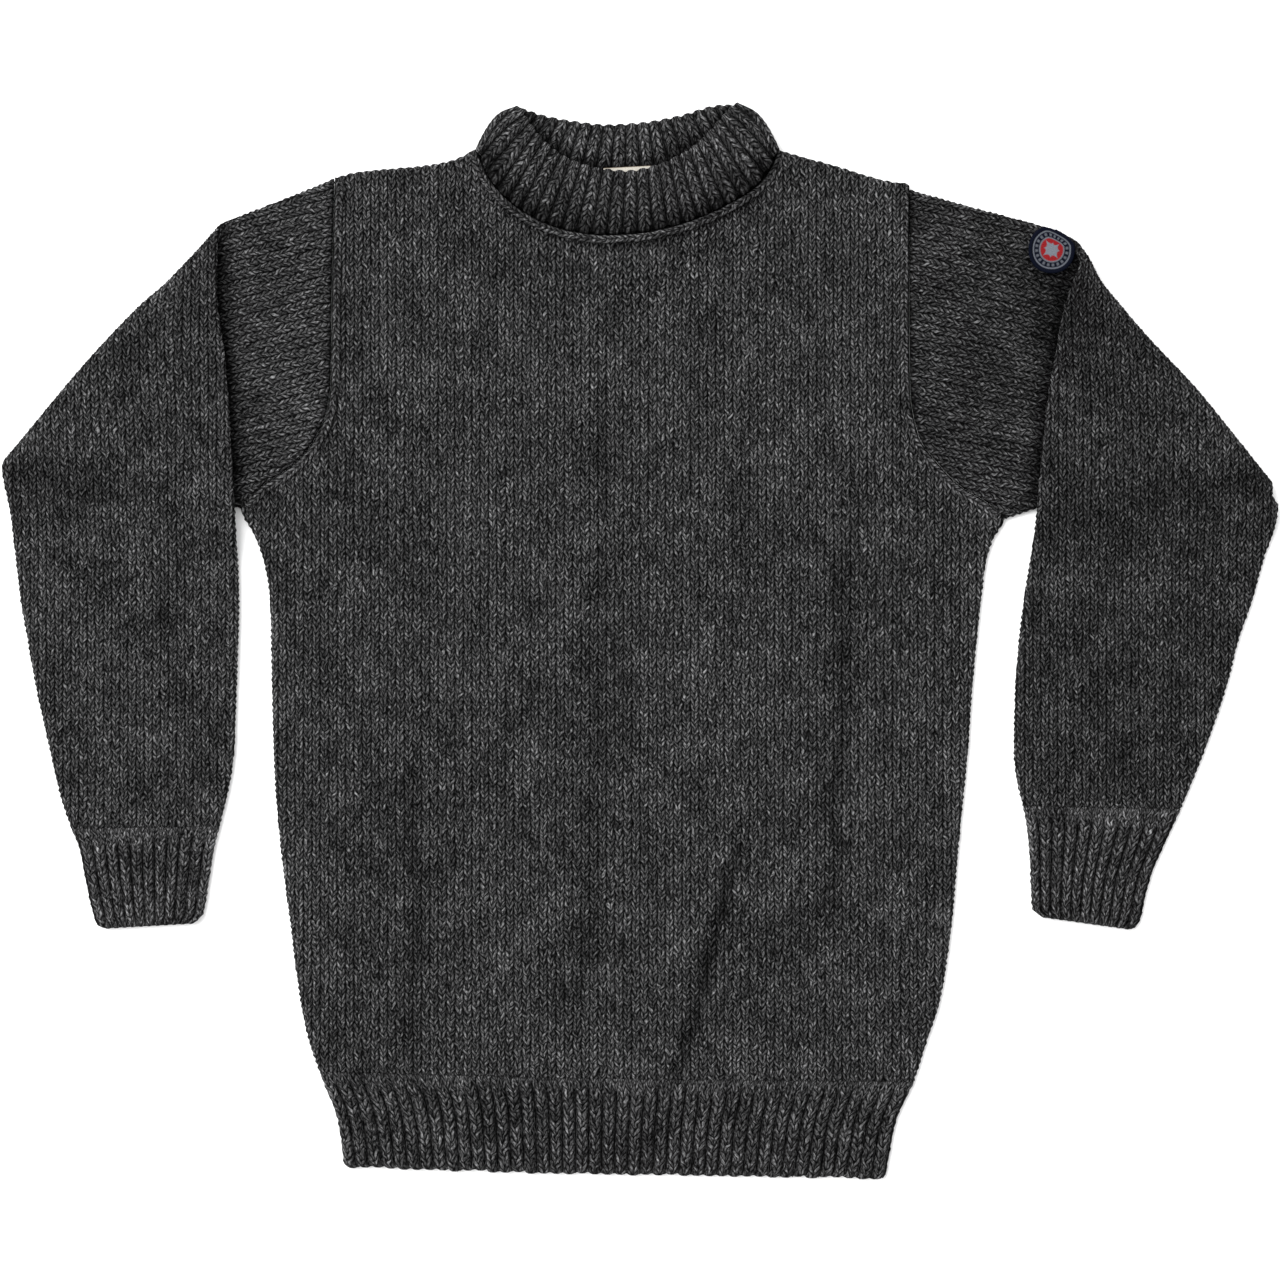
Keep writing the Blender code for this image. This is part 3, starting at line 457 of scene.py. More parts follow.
def rib_light(u, deep, end, inset):
    """Painted shade of ribs, evened out towards their free end, with a painted highlight at the
    sides.
    """
    return rib_light_share(u, deep * ease((end + 0.5) / RIB_FADE)) * painted_edge_highlight(inset)


def rib_start(u, depth):
    """How far the rib has formed, from 0 to 1: each rib starts at its own distance, 0 to 8 mm."""
    start = RIB_DELAY * (1 + per_leg(u // 2 * 2 + 0.3, 9.0))
    return ease((depth - start) / RIB_GROW)


def rib_sink(u, v, deep):
    """Depth below the cords' tops: that of plain knit turning into that of rib."""
    ribbed = yarn().rib_relief * (1 - rib_height(u, v))
    plain = yarn().relief * (1 - stitch_height(u, v))
    return (deep * ribbed + (1 - deep) * plain) / MM


def rib_height(u, v):
    """Height of one by one rib: knit wales stand as round cords and purl wales sink between."""
    part = u % 2
    crown = np.sqrt(np.clip(np.sin(np.pi * part), 0, 1))
    stand = np.where(part <= 1, 0.3 + 0.7 * crown, 0.3 * (1 + np.sin(np.pi * part)))
    return stand * (0.55 + 0.45 * stitch_height(u, v) * (part <= 1))


def scallops(at, pitch, rise, seed):
    """Outline of the loops along an edge: rise size (|sin(pi at / pitch)| - 0.45).

    The size of each loop is a fixed random number from 0.3 to 1.4.
    """
    sizes = np.random.default_rng(seed).uniform(0.3, 1.4, 997)
    size = sizes[np.floor(at / pitch).astype(int) % 997]
    return rise * size * (np.abs(np.sin(np.pi * at / pitch)) - 0.45)


def stitch_grid(s_range, t_range, wale, course, columns=4, rows=2):
    """Grid of stitches over a rectangle: rows lean with the legs of the stitches.

    A point of column i and row j is at s = wale i / columns and
    t = course (j / rows - lean m), with m the leg share of its column.
    """
    lean = yarn().lean
    i = np.arange(np.floor(s_range[0] / wale) * columns, np.ceil(s_range[1] / wale) * columns + 1)
    j = np.arange(
        np.floor(t_range[0] / course) * rows, (np.ceil(t_range[1] / course + lean) + 1) * rows
    )
    s = wale * i / columns + 0 * j[:, None]
    level = course * j[:, None] / rows + 0 * i
    return s, level - lean * course * leg_share(i / columns), level


def fit(s, t, level, low, high, start, end):
    """Pulls the grid's points that lie outside a piece onto its outline.

    low(t) and high(t) bound s, and start(s) and end(s) bound t. Where a whole stretch of a row
    lies outside, it shrinks to one point of the outline. Says also which points are held to s.
    """
    left, right = low(level[:, :1]), high(level[:, :1])
    beyond = (s < left) | (s > right)
    t = np.where(beyond, level, t)
    held = beyond | (s <= low(t)) | (s >= high(t))
    s = np.where(beyond, np.clip(s, left, right), np.clip(s, low(t), high(t)))
    return s, np.clip(t, start(s), end(s)), held


class Shell:
    """Grids of points and the strips between them, joined into one closed mesh.

    The attribute "hollow" is the share of light painted into a point's colour: 1 on open cloth,
    less where painted shade lies deep in a fold, and a little more where a painted highlight lies
    along an edge.
    """

    def __init__(self):
        self.points, self.uvs, self.quads, self.plates, self.shades = [], [], [], [], []
        self.count = 0

    def grid(self, points, uv, ring=False, shade=None):
        """Adds a grid of points and its faces; a ring's last column meets its first."""
        rows, columns = points.shape[:2]
        index = np.arange(rows * columns).reshape(rows, columns) + self.count
        self.count += rows * columns
        self.points.append(points.reshape(-1, 3))
        self.uvs.append(uv.reshape(-1, 2))
        self.shades.append(np.ones(rows * columns) if shade is None else shade.ravel())
        self.strip(np.hstack([index, index[:, :1]]) if ring else index)
        return index

    def loose(self, points, uv):
        """Adds points without faces, for the rim of a hidden plate."""
        index = np.arange(len(points)) + self.count
        self.count += len(points)
        self.points.append(points)
        self.uvs.append(uv)
        self.shades.append(np.full(len(points), CAP))
        return index

    def strip(self, index):
        """Quads between neighbouring rows and columns of an index grid."""
        self.quads.append(np.stack(
            [index[:-1, :-1], index[:-1, 1:], index[1:, 1:], index[1:, :-1]], axis=-1
        ).reshape(-1, 4))

    def bridge(self, first, second):
        """Quads between two rows of equally many points."""
        self.strip(np.stack([first, second]))

    def make(self, name, material):
        """One object: quads are cut along their shorter diagonal and empty triangles dropped."""
        points = np.concatenate(self.points) * MM
        uv = np.concatenate(self.uvs)
        quads = np.concatenate(self.quads)
        corner = points[quads]
        first = np.linalg.norm(corner[:, 0] - corner[:, 2], axis=1)
        second = np.linalg.norm(corner[:, 1] - corner[:, 3], axis=1)
        quads = np.where((second < first)[:, None], np.roll(quads, -1, axis=1), quads)
        triangles = np.concatenate([quads[:, [0, 1, 2]], quads[:, [0, 2, 3]]])
        _, keep, same = np.unique(
            np.round(points * 1e6).astype(np.int64), axis=0, return_index=True, return_inverse=True
        )
        same = same.reshape(-1)
        welded = same[triangles]
        whole = (
            (welded[:, 0] != welded[:, 1]) & (welded[:, 1] != welded[:, 2])
            & (welded[:, 0] != welded[:, 2])
        )
        faces, face_uv = welded[whole].tolist(), [uv[triangles[whole]].reshape(-1, 2)]
        for plate in self.plates:
            ids = same[plate]
            new = ids != np.roll(ids, 1)
            faces.append(ids[new].tolist())
            face_uv.append(uv[plate[new]])
        mesh = bpy.data.meshes.new(name)
        mesh.from_pydata(points[keep].tolist(), [], faces)
        layer = mesh.uv_layers.new(name="stitch")
        layer.data.foreach_set("uv", np.concatenate(face_uv).astype(np.float32).ravel())
        # Each point's painted light and shade, which the material multiplies into its colour.
        hollow = mesh.attributes.new("hollow", "FLOAT", "POINT")
        hollow.data.foreach_set("value", np.concatenate(self.shades)[keep])
        built = bmesh.new()
        built.from_mesh(mesh)
        bmesh.ops.recalc_face_normals(built, faces=built.faces)
        built.to_mesh(mesh)
        built.free()
        mesh.shade_smooth()
        mesh.materials.append(material)
        piece = bpy.data.objects.new(name, mesh)
        bpy.context.scene.collection.objects.link(piece)
        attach(piece, "root")
        return piece


def boundary(index):
    """Indices round the rim of a grid, in order."""
    return np.concatenate([index[0], index[1:, -1], index[-1, -2::-1], index[-2:0:-1, 0]])


def creased(x, y, creases):
    """How much the creases raise a point, and the share of light that is left there.

    With a the distance aside over the crease's half width, a crease raises the cloth by
    rise exp(-(a / CREASE_SWELL)^2) - (rise + depth) exp(-a^2) and fades past both of its ends.
    At s along it, its line wanders aside by 1.6 sin(s / 23) + sin(s / 9).
    """
    raised, light = np.zeros_like(x), np.ones_like(x)
    for crease in creases:
        run = np.array([crease.x1 - crease.x0, crease.y1 - crease.y0])
        length = np.hypot(*run)
        along = ((x - crease.x0) * run[0] + (y - crease.y0) * run[1]) / length
        aside = ((y - crease.y0) * run[0] - (x - crease.x0) * run[1]) / length
        aside = (aside + 1.6 * np.sin(along / 23) + 1.0 * np.sin(along / 9)) / crease.half_width
        past = np.maximum(np.abs(along - length / 2) - length / 2 + CREASE_INNER, 0)
        fade = np.exp(-(past / CREASE_FADE) ** 2)
        narrow = np.exp(-aside ** 2)
        swell = crease.rise * np.exp(-(aside / CREASE_SWELL) ** 2)
        raised += fade * (swell - (crease.rise + crease.depth) * narrow)
        light *= 1 - crease.shade * fade * narrow
    return raised, light


def neckline_top(x, neckline):
    """Upper edge of a panel: shoulder, neckline, shoulder."""
    middle = np.where(x < neckline[0].x, y_at(SHOULDER_LEFT, x), y_at(neckline, x))
    return np.where(x > neckline[-1].x, y_at(SHOULDER_RIGHT, x), middle)


def beside_neck(x, neckline, clear):
    """Whether a place is on the shoulders, clear of the neckline's ends."""
    return (x < neckline[0].x - clear) | (x > neckline[-1].x + clear)


def single_layer(name, x, y, outer, inner, uv, light, material):
    """One layer of cloth: its outer face as a grid, joined round its rim to a flat inner plate."""
    shell = Shell()
    index = shell.grid(np.stack([x, y, outer], -1), uv, shade=light)
    rim = boundary(index)
    flat = np.stack([x, y, np.full_like(x, inner)], -1).reshape(-1, 3)
    plate = shell.loose(flat[rim - index[0, 0]], uv.reshape(-1, 2)[rim - index[0, 0]])
    shell.bridge(np.append(rim, rim[0]), np.append(plate, plate[0]))
    shell.plates.append(plate)
    return shell.make(name, material)


def body_panel(name, neckline, upper, material):
    """Front or back panel: stitches stand in columns of equal x and courses of equal y.

    The outer face stands HALF - LAYER_GAP / 2 off the inner one, times a quarter circle along
    the free edges, less the relief of its stitches, its creases and the furrow at its seams.
    """
    wale, course = yarn().wale / MM, yarn().course / MM
    left_underarm, right_underarm = BODY_LEFT[UNDERARM].y, BODY_RIGHT[UNDERARM].y

    def left_edge(t):
        """The loops along a free side end at the underarm, where the sleeve is sewn on."""
        loops = scallops(t, course, EDGE_RISE, 1) * (t > 4 - left_underarm)
        return x_at(BODY_LEFT, -t) - loops

    def right_edge(t):
        """The same on the right."""
        loops = scallops(t, course, EDGE_RISE, 2) * (t > 4 - right_underarm)
        return x_at(BODY_RIGHT, -t) + loops

    def top_edge(s):
        """Loops stand along the shoulders, and the right one rises a little at its end."""
        loops = scallops(s, wale, EDGE_RISE, 3) * beside_neck(s, neckline, 2)
        corner = 1.4 * np.exp(-((s - BODY_RIGHT[-1].x + 3.5) / 4.5) ** 2)
        return -neckline_top(s, neckline) - loops - corner

    def hem_edge(s):
        """The seam of the hem."""
        return -y_at(HEM_SEAM, s) - CLOSE_GAP

    s, t, level = stitch_grid(*PANEL_REACH, wale, course, rows=2 if upper else 1)
    s, t, _ = fit(s, t, level, left_edge, right_edge, top_edge, hem_edge)
    x, y = s, -t
    left, right = x - left_edge(t), right_edge(t) - x
    shoulder = beside_neck(x, neckline, 1)
    below_top = np.where(shoulder, -top_edge(x), neckline_top(x, neckline)) - y
    free = np.minimum(
        np.where(y < left_underarm, left, NOT_NEAR), np.where(y < right_underarm, right, NOT_NEAR)
    )
    free = np.minimum(free, np.where(shoulder, below_top, NOT_NEAR))
    side_seam = np.minimum(
        np.where(y > left_underarm, left, NOT_NEAR), np.where(y > right_underarm, right, NOT_NEAR)
    )
    neck = np.where(shoulder, NOT_NEAR, below_top)
    keep = rounding(free)
    sink = yarn().relief / MM * (1 - stitch_height(x / wale, t / course)) * keep
    if upper:
        raised, light = creased(x, y, FRONT_CREASES)
        dip = SEAM_DIP * (1 - ease((np.minimum(neck, side_seam) - 5.5) / 3.0)) * keep
        sink = sink - raised * ease(free / CREASE_CLEAR) + dip
        # The neck seam's furrow lies in painted shade, and the cloth round it is painted a little
        # darker.
        light = light * (1 - 0.30 * (1 - ease((neck - 4) / 12)))
        light = light * (1 - 0.50 * np.exp(-((neck - 7.2) / 1.6) ** 2))
        inner = HALF + LAYER_GAP / 2
        outer = inner + (HALF - LAYER_GAP / 2) * keep - sink
    else:
        raised, light = creased(x, y, BACK_CREASES)
        inner = HALF - LAYER_GAP / 2
        outer = inner - inner * keep + sink - raised * keep
    # Painted highlight along the free edges.
    light = light * painted_edge_highlight(free)
    light = light * (1 - SEAM_SHADE * np.exp(-((side_seam - 0.2) / 1.5) ** 2))
    uv = np.stack([x / wale, t / course], -1)
    return single_layer(name, x, y, outer, inner, uv, light, material)


def points_of(piece):
    """A piece's points, in metres."""
    points = np.empty(len(piece.data.vertices) * 3)
    piece.data.vertices.foreach_get("co", points)
    return points.reshape(-1, 3)


def plan_area(obj):
    """Area of a piece seen from straight above: half the cross products that point up, summed."""
    mesh = obj.data
    mesh.calc_loop_triangles()
    count = len(mesh.loop_triangles)
    corners = np.empty(count * 3, np.int32)
    mesh.loop_triangles.foreach_get("vertices", corners)
    a, b, c = points_of(obj)[corners.reshape(-1, 3)].transpose(1, 0, 2)
    cross = (b[:, 0] - a[:, 0]) * (c[:, 1] - a[:, 1]) - (b[:, 1] - a[:, 1]) * (c[:, 0] - a[:, 0])
    return float(np.clip(cross, 0, None).sum() / 2)


def cloth(piece, node, flat=None, area=None):
    """Hides the node's part that a knitted piece stands for, and works out the size that it was
    knitted to; nothing uses that size.
    """
    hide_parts(node)
    low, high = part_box(node)
    width, length = flat or (high[0] - low[0], high[1] - low[1])
    area = min(area or plan_area(piece), width * length)


def ribbon(shell, path, half_width, foot, rise, u0, course):
    """Raised chain of stitches along a path: a half round, closed below, with leaning courses.

    Across it the angle a runs from 0 to pi: it lies half_width cos a beside the path and
    foot + rise sin a high, less the relief of the stitches.
    """
    run = np.concatenate([[0], np.cumsum(np.linalg.norm(np.diff(path, axis=0), axis=1))])
    angle = np.linspace(0, np.pi, 9)
    share = angle / np.pi
    level = np.arange(0, run[-1] + course / 2, course / 2)[:, None]
    t = np.clip(level - yarn().lean * course * (leg_share(share) - 0.5), 0, run[-1])
    place = smooth_interp(t.ravel(), run, path).reshape(*t.shape, 2)
    ahead = smooth_interp(np.clip(t + 1, 0, run[-1]).ravel(), run, path).reshape(*t.shape, 2)
    behind = smooth_interp(np.clip(t - 1, 0, run[-1]).ravel(), run, path).reshape(*t.shape, 2)
    way = ahead - behind
    way /= np.linalg.norm(way, axis=-1, keepdims=True)
    aside = np.stack([-way[..., 1], way[..., 0]], -1)
    height = stitch_height(share + 0 * t, t / course)
    grow = 1 - 0.35 * (1 - height)
    xy = place + aside * (half_width * np.cos(angle) * (0.9 + 0.1 * grow))[..., None]
    z = foot + rise * np.sin(angle) * grow
    uv = np.stack([u0 + share + 0 * t, t / course], -1)
    index = shell.grid(np.dstack([xy, z]), uv)
    shell.bridge(index[:, -1], index[:, 0])
    shell.plates += [index[0], index[-1][::-1]]


def fold_frame(arm):
    """Unit vector along the fold from the shoulder side, and the one pointing out of it."""
    along = np.array(arm.axis_low) - np.array(arm.axis_top)
    length = np.linalg.norm(along)
    along /= length
    return along, np.array([-along[1], along[0]]) * arm.side, length


def bow_push(arm, place, along, out, length, depth):
    """The fold's line isn't quite straight: its table pushes the cloth out or in near it."""
    share = np.clip((place - np.array(arm.axis_top)) @ along / length, 0, 1)
    table = np.array(arm.bow, float)
    push = smooth_interp(share, table[:, 0], table[:, 1])
    return (push * (1 - ease(depth / BOW_REACH)))[..., None] * out


def arm_drop(arm, place):
    """How far the forearm has come down from lying on the upper sleeve to lying on the floor."""
    underarm, elbow = np.array(arm.armhole[0]), np.array(arm.axis_low)
    run = (elbow - underarm) / np.linalg.norm(elbow - underarm)
    past = (place[..., 0] - underarm[0]) * run[1] - (place[..., 1] - underarm[1]) * run[0]
    return (2 * FOLD_HEIGHT - SLAB) * ease((past * arm.side - DROP_START) / DROP_RUN)


def lay_upper(arm, place, height):
    """The upper sleeve lies flat; only the bow of the fold moves it."""
    along, out, length = fold_frame(arm)
    depth = -((place - np.array(arm.axis_top)) @ out)
    moved = place + bow_push(arm, place, along, out, length, depth)
    return np.dstack([moved, height])


def lay_forearm(arm, place, height):
    """Rolls the cloth round the fold: past its line the plan distance becomes an angle.

    A point that lies d beyond the fold line, 0 to FOLD_ARC, sits on the roll at the angle
    pi (1 - d / FOLD_ARC), at a radius of FOLD_HEIGHT less its height in the flat tube.
    """
    along, out, length = fold_frame(arm)
    beyond = (place - np.array(arm.axis_top)) @ out
    angle = np.pi * (1 - np.clip(beyond / FOLD_ARC, 0, 1))
    radius = FOLD_HEIGHT - height
    on_line = place - np.clip(beyond, 0, None)[..., None] * out
    moved = on_line + (radius * np.sin(angle))[..., None] * out
    moved += bow_push(arm, on_line, along, out, length, -beyond)
    level = FOLD_HEIGHT - radius * np.cos(angle)
    return np.dstack([moved, level - arm_drop(arm, on_line) * (beyond <= 0)])


def curve_of(points, frame_of, key, value):
    """Sampled edge as a function: one of its own coordinates at each value of the other."""
    st = frame_of(np.array(points, float))
    order = np.argsort(st[:, key])
    return lambda at: np.interp(at, st[order, key], st[order, value])


def tube_lines(arm, part):
    """Lines round a sleeve's flat tube: its upper and its lower edge, its start and its end."""
    _, out, _ = fold_frame(arm)
    at = np.linspace(0, 1, 60)
    fold = np.linspace(arm.axis_top, arm.axis_low, 60)
    if part == "upper":
        armhole = np.array(arm.armhole[::-1], float) + np.array([arm.side, 1]) * ARMHOLE_GAP
        # The gap closes at the shoulder, where the floor would show through it.
        armhole[0, 0] -= arm.side * 0.5
        shoulder = armhole[0] - np.array([0.0, arm.cap_drop])
        over = spline((shoulder, arm.top_middle, arm.axis_top), at)
        under = spline((armhole[-1], arm.low_middle, arm.axis_low), at)
        return over, under, spline(armhole, at), fold
    rolled = fold + FOLD_ARC * out
    over = np.vstack([rolled[0], spline(arm.inner, at)])
    under = np.vstack([rolled[-1], spline(arm.outer, at)])
    return over, under, rolled, np.linspace(arm.inner[-1], arm.outer[-1], 60)


def pressed(arm, place, past_seam):
    """How far the forearm presses the upper sleeve down beside it, and the light left there.

    With p the distance from the forearm's edge over the reach of its shadow, from 0 to 1, the
    press is PRESS (1 - ease(p)) and the light is 1 - PRESS_SHADE (1 - p)^1.4. Towards the
    shoulder the reach grows by press_more.
    """
    _, out, _ = fold_frame(arm)
    x, y = place[..., 0], place[..., 1]
    inside = (np.array(arm.axis_top) - place) @ out
    reach = PRESS_RUN + arm.press_more * ease((y - 195) / 50)
    part = (x_at(arm.inner[::-1], y) - x) * arm.side / reach
    press = PRESS * (1 - ease(part)) * ease((inside - 1) / 10)
    light = 1 - PRESS_SHADE * (1 - np.clip(part, 0, 1)) ** 1.4
    return press, light * (1 - SEAM_SHADE * np.exp(-(past_seam / 1.8) ** 2))


def close_tube(shell, faces, walls):
    """Joins a tube's two faces to the walls of its hollow at both of its open ends."""
    for row in (0, -1):
        shell.bridge(
            np.concatenate([faces[0][row], faces[1][row][::-1]]),
            np.concatenate([walls[0][row], walls[1][row][::-1]]),
        )


def knitted_tube(name, arm, part, material):
    """Upper sleeve or forearm: a flattened tube of two layers joined along both its edges.

    It is worked out flat, with s across its wales and t along them, and laid in place at the
    end. A face stands HALF off the tube's middle, times a quarter circle along the edges, less
    the relief of its stitches. Gives its flat width all round and length, and its cut's area.
    """
    upper = part == "upper"
    if upper:
        angle = np.radians(-arm.tilt)
        way = np.array([np.cos(angle) * arm.side, np.sin(angle)])
        wale, course, lay = yarn().upper_wale / MM, yarn().course / MM, lay_upper
    else:
        way = np.array([0.0, -1.0])
        wale, course, lay = yarn().arm_wale / MM, yarn().arm_course / MM, lay_forearm
    over, under, start, end = tube_lines(arm, part)
    cross = np.array([-way[1], way[0]]) * (-arm.side if upper else arm.side)
    origin = over[0]

    def frame_of(points):
        """Plan points as distance across the wales and along them."""
        return np.stack([(points - origin) @ cross, (points - origin) @ way], -1)

    def plan_of(s, t):
        """The plan points at distances across the wales and along them."""
        return origin + s[..., None] * cross + t[..., None] * way

    smooth_low, smooth_high = curve_of(over, frame_of, 1, 0), curve_of(under, frame_of, 1, 0)
    first, last = curve_of(start, frame_of, 0, 1), curve_of(end, frame_of, 0, 1)

    def low(t):
        """The upper edge with its loops."""
        return smooth_low(t) - scallops(t, course, EDGE_RISE, 6)

    def high(t):
        """The lower edge with its loops."""
        return smooth_high(t) + scallops(t, course, EDGE_RISE, 7)

    every = frame_of(np.concatenate([over, under, start, end]))
    lowest, highest = every.min(axis=0), every.max(axis=0)
    s, t, level = stitch_grid((lowest[0], highest[0]), (lowest[1], highest[1]), wale, course)
    s, t, held = fit(s, t, level, low, high, first, last)
    inset = np.where(held, 0, np.clip(np.minimum(s - low(t), high(t) - s), 0.01, None))
    keep = rounding(inset)
    place = plan_of(s, t)
    sink = yarn().relief / MM * (1 - stitch_height(s / wale, t / course))
    press, raised = np.zeros_like(s), np.zeros_like(s)
    if upper:
        sink = sink + SEAM_DIP * (1 - ease((t - first(s) - 0.6) / 2.6))
        press, light = pressed(arm, place, t - first(s))
    else:
        raised, light = creased(place[..., 0], place[..., 1], arm.creases)
        inside = (np.array(arm.axis_top) - place) @ fold_frame(arm)[1]
        raised = raised * ease(inset / CREASE_CLEAR) * ease(inside / 12)
    # Painted light: the sleeve's painted shade, that of the press or creases, and the edge
    # highlight.
    light = arm.tone * light * painted_edge_highlight(inset)
    uv = np.stack([s / wale, t / course], -1)
    shell, faces, walls = Shell(), [], []
    for face, shift in ((1, 0.0), (-1, 97.0)):
        height = HALF + face * (HALF - sink) * keep
        height = height - press * keep if face > 0 else height - raised
        faces.append(shell.grid(lay(arm, place, height), uv + (shift, 0.0), shade=light))
    # The hollow inside has fewer rows; its walls are a little apart and joined at both edges.
    pick = np.unique(np.append(np.arange(0, len(s), 6 if upper else 3), len(s) - 1))
    left, right = (low(t) + WALL)[pick], (high(t) - WALL)[pick]
    inner_s = np.clip(s[pick], left, np.maximum(right, left + 0.1))
    near = np.minimum(inner_s - left, right - inner_s)
    for face in (1, -1):
        height = HALF + face * LAYER_GAP / 2 * rounding(near, 1.0)
        walls.append(shell.grid(lay(arm, plan_of(inner_s, t[pick]), height), uv[pick]))
    close_tube(shell, faces, walls)
    width, length = highest - lowest
    x, y = frame_of(np.concatenate([over, end, under[::-1], start[::-1]])).T
    cut = abs(float((x * np.roll(y, -1) - y * np.roll(x, -1)).sum())) / 2
    return shell.make(name, material), (2 * width * MM, length * MM), 2 * cut * MM * MM


def rib_rows(u, course, rows, length):
    """Depth of a rib's rows: half a course apart, leaning by 0.8 of what plain knit does."""
    lean = yarn().lean * course * 0.8 * leg_share(u)
    depth = np.clip(np.arange(rows + 1)[:, None] * course / 2 - lean, 0, length)
    depth[-1] = length
    return depth


def formed_share(u, ribs, deep):
    """Share of the width: all wales are even in plain knit, and knit ones widen in rib."""
    return rib_share(u, ribs, 0.5 + (KNIT_SHARE - 0.5) * deep)


def hem_band(name, upper, material):
    """Ribbed band below a panel: ribs share the width and fan in with the sides.

    The cloth stands as a panel's does, and rises by RIB_STAND where the ribs have formed. The
    free end thins to 0.35 of its height over END_ROUND.
    """
    ribs, course = yarn().hem_ribs, yarn().course * RIB_COURSE / MM
    u = rib_columns(ribs)
    share = rib_share(u, ribs)
    seam = y_at(HEM_SEAM, HEM_TOP[0] + share * HEM_TOP[1]) - CLOSE_GAP
    edge = y_at(HEM_EDGE, HEM_LOW[0] + share * HEM_LOW[1])
    edge = edge - 0.7 * per_leg(u // 2 * 2 + 0.3, 5.0)
    depth = rib_rows(u, course, 30, seam - edge)
    y = seam - depth
    deep, end = rib_start(u, depth), seam - edge - depth
    corner = HEM_CORNER * (1 - rounding(end, 4.0))
    loop = yarn().course / MM
    left = x_at(BODY_LEFT, y) - scallops(-y, loop, EDGE_RISE, 1) + corner
    right = x_at(BODY_RIGHT, y) + scallops(-y, loop, EDGE_RISE, 2) - corner
    x = left + formed_share(u, ribs, deep) * (right - left)
    free = np.minimum(x - left, right - x)
    keep = rounding(free) * (0.35 + 0.65 * rounding(end, END_ROUND))
    sink = rib_sink(u + 0 * y, depth / course, deep) * keep
    raised, light = creased(x, y, FRONT_CREASES if upper else BACK_CREASES)
    raised = raised * ease(free / CREASE_CLEAR) * ease(end / 30)
    light = light * rib_light(u, deep, end, free)
    y = y - 1.5 * (rib_height(u + 0 * y, 0.5) - 0.5) * (end < 0.01)
    if upper:
        inner = HALF + LAYER_GAP / 2
        outer = inner + (HALF - LAYER_GAP / 2 + RIB_STAND * deep) * keep - sink + raised
    else:
        inner = HALF - LAYER_GAP / 2
        outer = inner - inner * keep + sink - raised
    uv = np.stack([u + 0 * y, depth / course], -1)
    return single_layer(name, x, y, outer, inner, uv, light, material)


def cuff_tube(name, arm, material):
    """Ribbed tube at the end of a sleeve, with a hollow inside and a flat underside.

    A face stands HALF off the tube's middle less the ribs' relief, times a quarter circle along
    the sides, and thins to 0.55 of that over END_ROUND at the free end.
    """
    ribs, course = yarn().cuff_ribs, yarn().arm_course * RIB_COURSE / MM
    u = rib_columns(ribs)
    length = np.linalg.norm(np.array(arm.cuff_inner[0]) - np.array(arm.cuff_inner[-1]))
    rows = int(length / course * 2) + 1
    depth = rib_rows(u, course, rows, length)
    end, part = length - depth, (depth / length).ravel()
    loops = scallops(depth, course, EDGE_RISE, 5) * ease(depth / 4)
    loops = loops - CUFF_CORNER * (1 - rounding(end, 5.0))
    loops = loops[..., None] * np.array([arm.side, 0.0])
    left = spline(arm.cuff_inner, part).reshape(*depth.shape, 2) - loops
    right = spline(arm.cuff_outer, part).reshape(*depth.shape, 2) + loops
    deep = rib_start(u, depth)
    share = formed_share(u, ribs, deep)
    place = left + share[..., None] * (right - left)
    width = np.linalg.norm(right - left, axis=-1)
    inset = np.minimum(share, 1 - share) * width
    keep = rounding(inset) * (0.55 + 0.45 * rounding(end, END_ROUND))
    sink = rib_sink(u + 0 * depth, depth / course, deep)
    # Painted light: the cuff is painted lighter than the body, with part of its sleeve's painted
    # shade.
    light = CUFF_LIGHT * arm.tone ** 0.5 * rib_light(u, deep, end, inset)
    place[-1, :, 1] -= 1.2 * (rib_height(u, 0.5) - 0.5)
    shell, faces, walls = Shell(), [], []
    for face, shift in ((1, 0.0), (-1, 60.0)):
        z = HALF + face * (HALF + 0.4 * deep * (face > 0) - sink) * keep
        uv = np.stack([u + shift + 0 * depth, depth / course], -1)
        faces.append(shell.grid(np.dstack([place, z]), uv, shade=light))
    pick = np.array([0, rows // 2, rows])
    inner_share = np.clip(rib_share(u, ribs), WALL / width, 1 - WALL / width)[pick]
    inside = left[pick] + inner_share[..., None] * (right - left)[pick]
    near = np.minimum(inner_share, 1 - inner_share) * width[pick] - WALL
    for face in (1, -1):
        z = HALF + face * LAYER_GAP / 2 * rounding(near, 1.0)
        walls.append(shell.grid(np.dstack([inside, z]), uv[pick]))
    close_tube(shell, faces, walls)
    return shell.make(name, material)


def shift_line(edges, distance, count=160):
    """A smooth line through the edges, moved to its left."""
    line = spline(edges, np.linspace(0, 1, count))
    run = np.gradient(line, axis=0)
    run /= np.linalg.norm(run, axis=1)[:, None]
    return line + distance * np.column_stack([-run[:, 1], run[:, 0]])


def offset_line(edges, distance, ends):
    """The line moved to its left by a distance, running into its set ends."""
    at = np.linspace(0, 1, 81)
    moved = shift_line(edges, distance, len(at))
    fade = ease(np.minimum(at, 1 - at) / 0.12)[:, None]
    anchor = np.where(at[:, None] < 0.5, np.array(ends[0]), np.array(ends[1]))
    return moved * fade + (1 - fade) * anchor


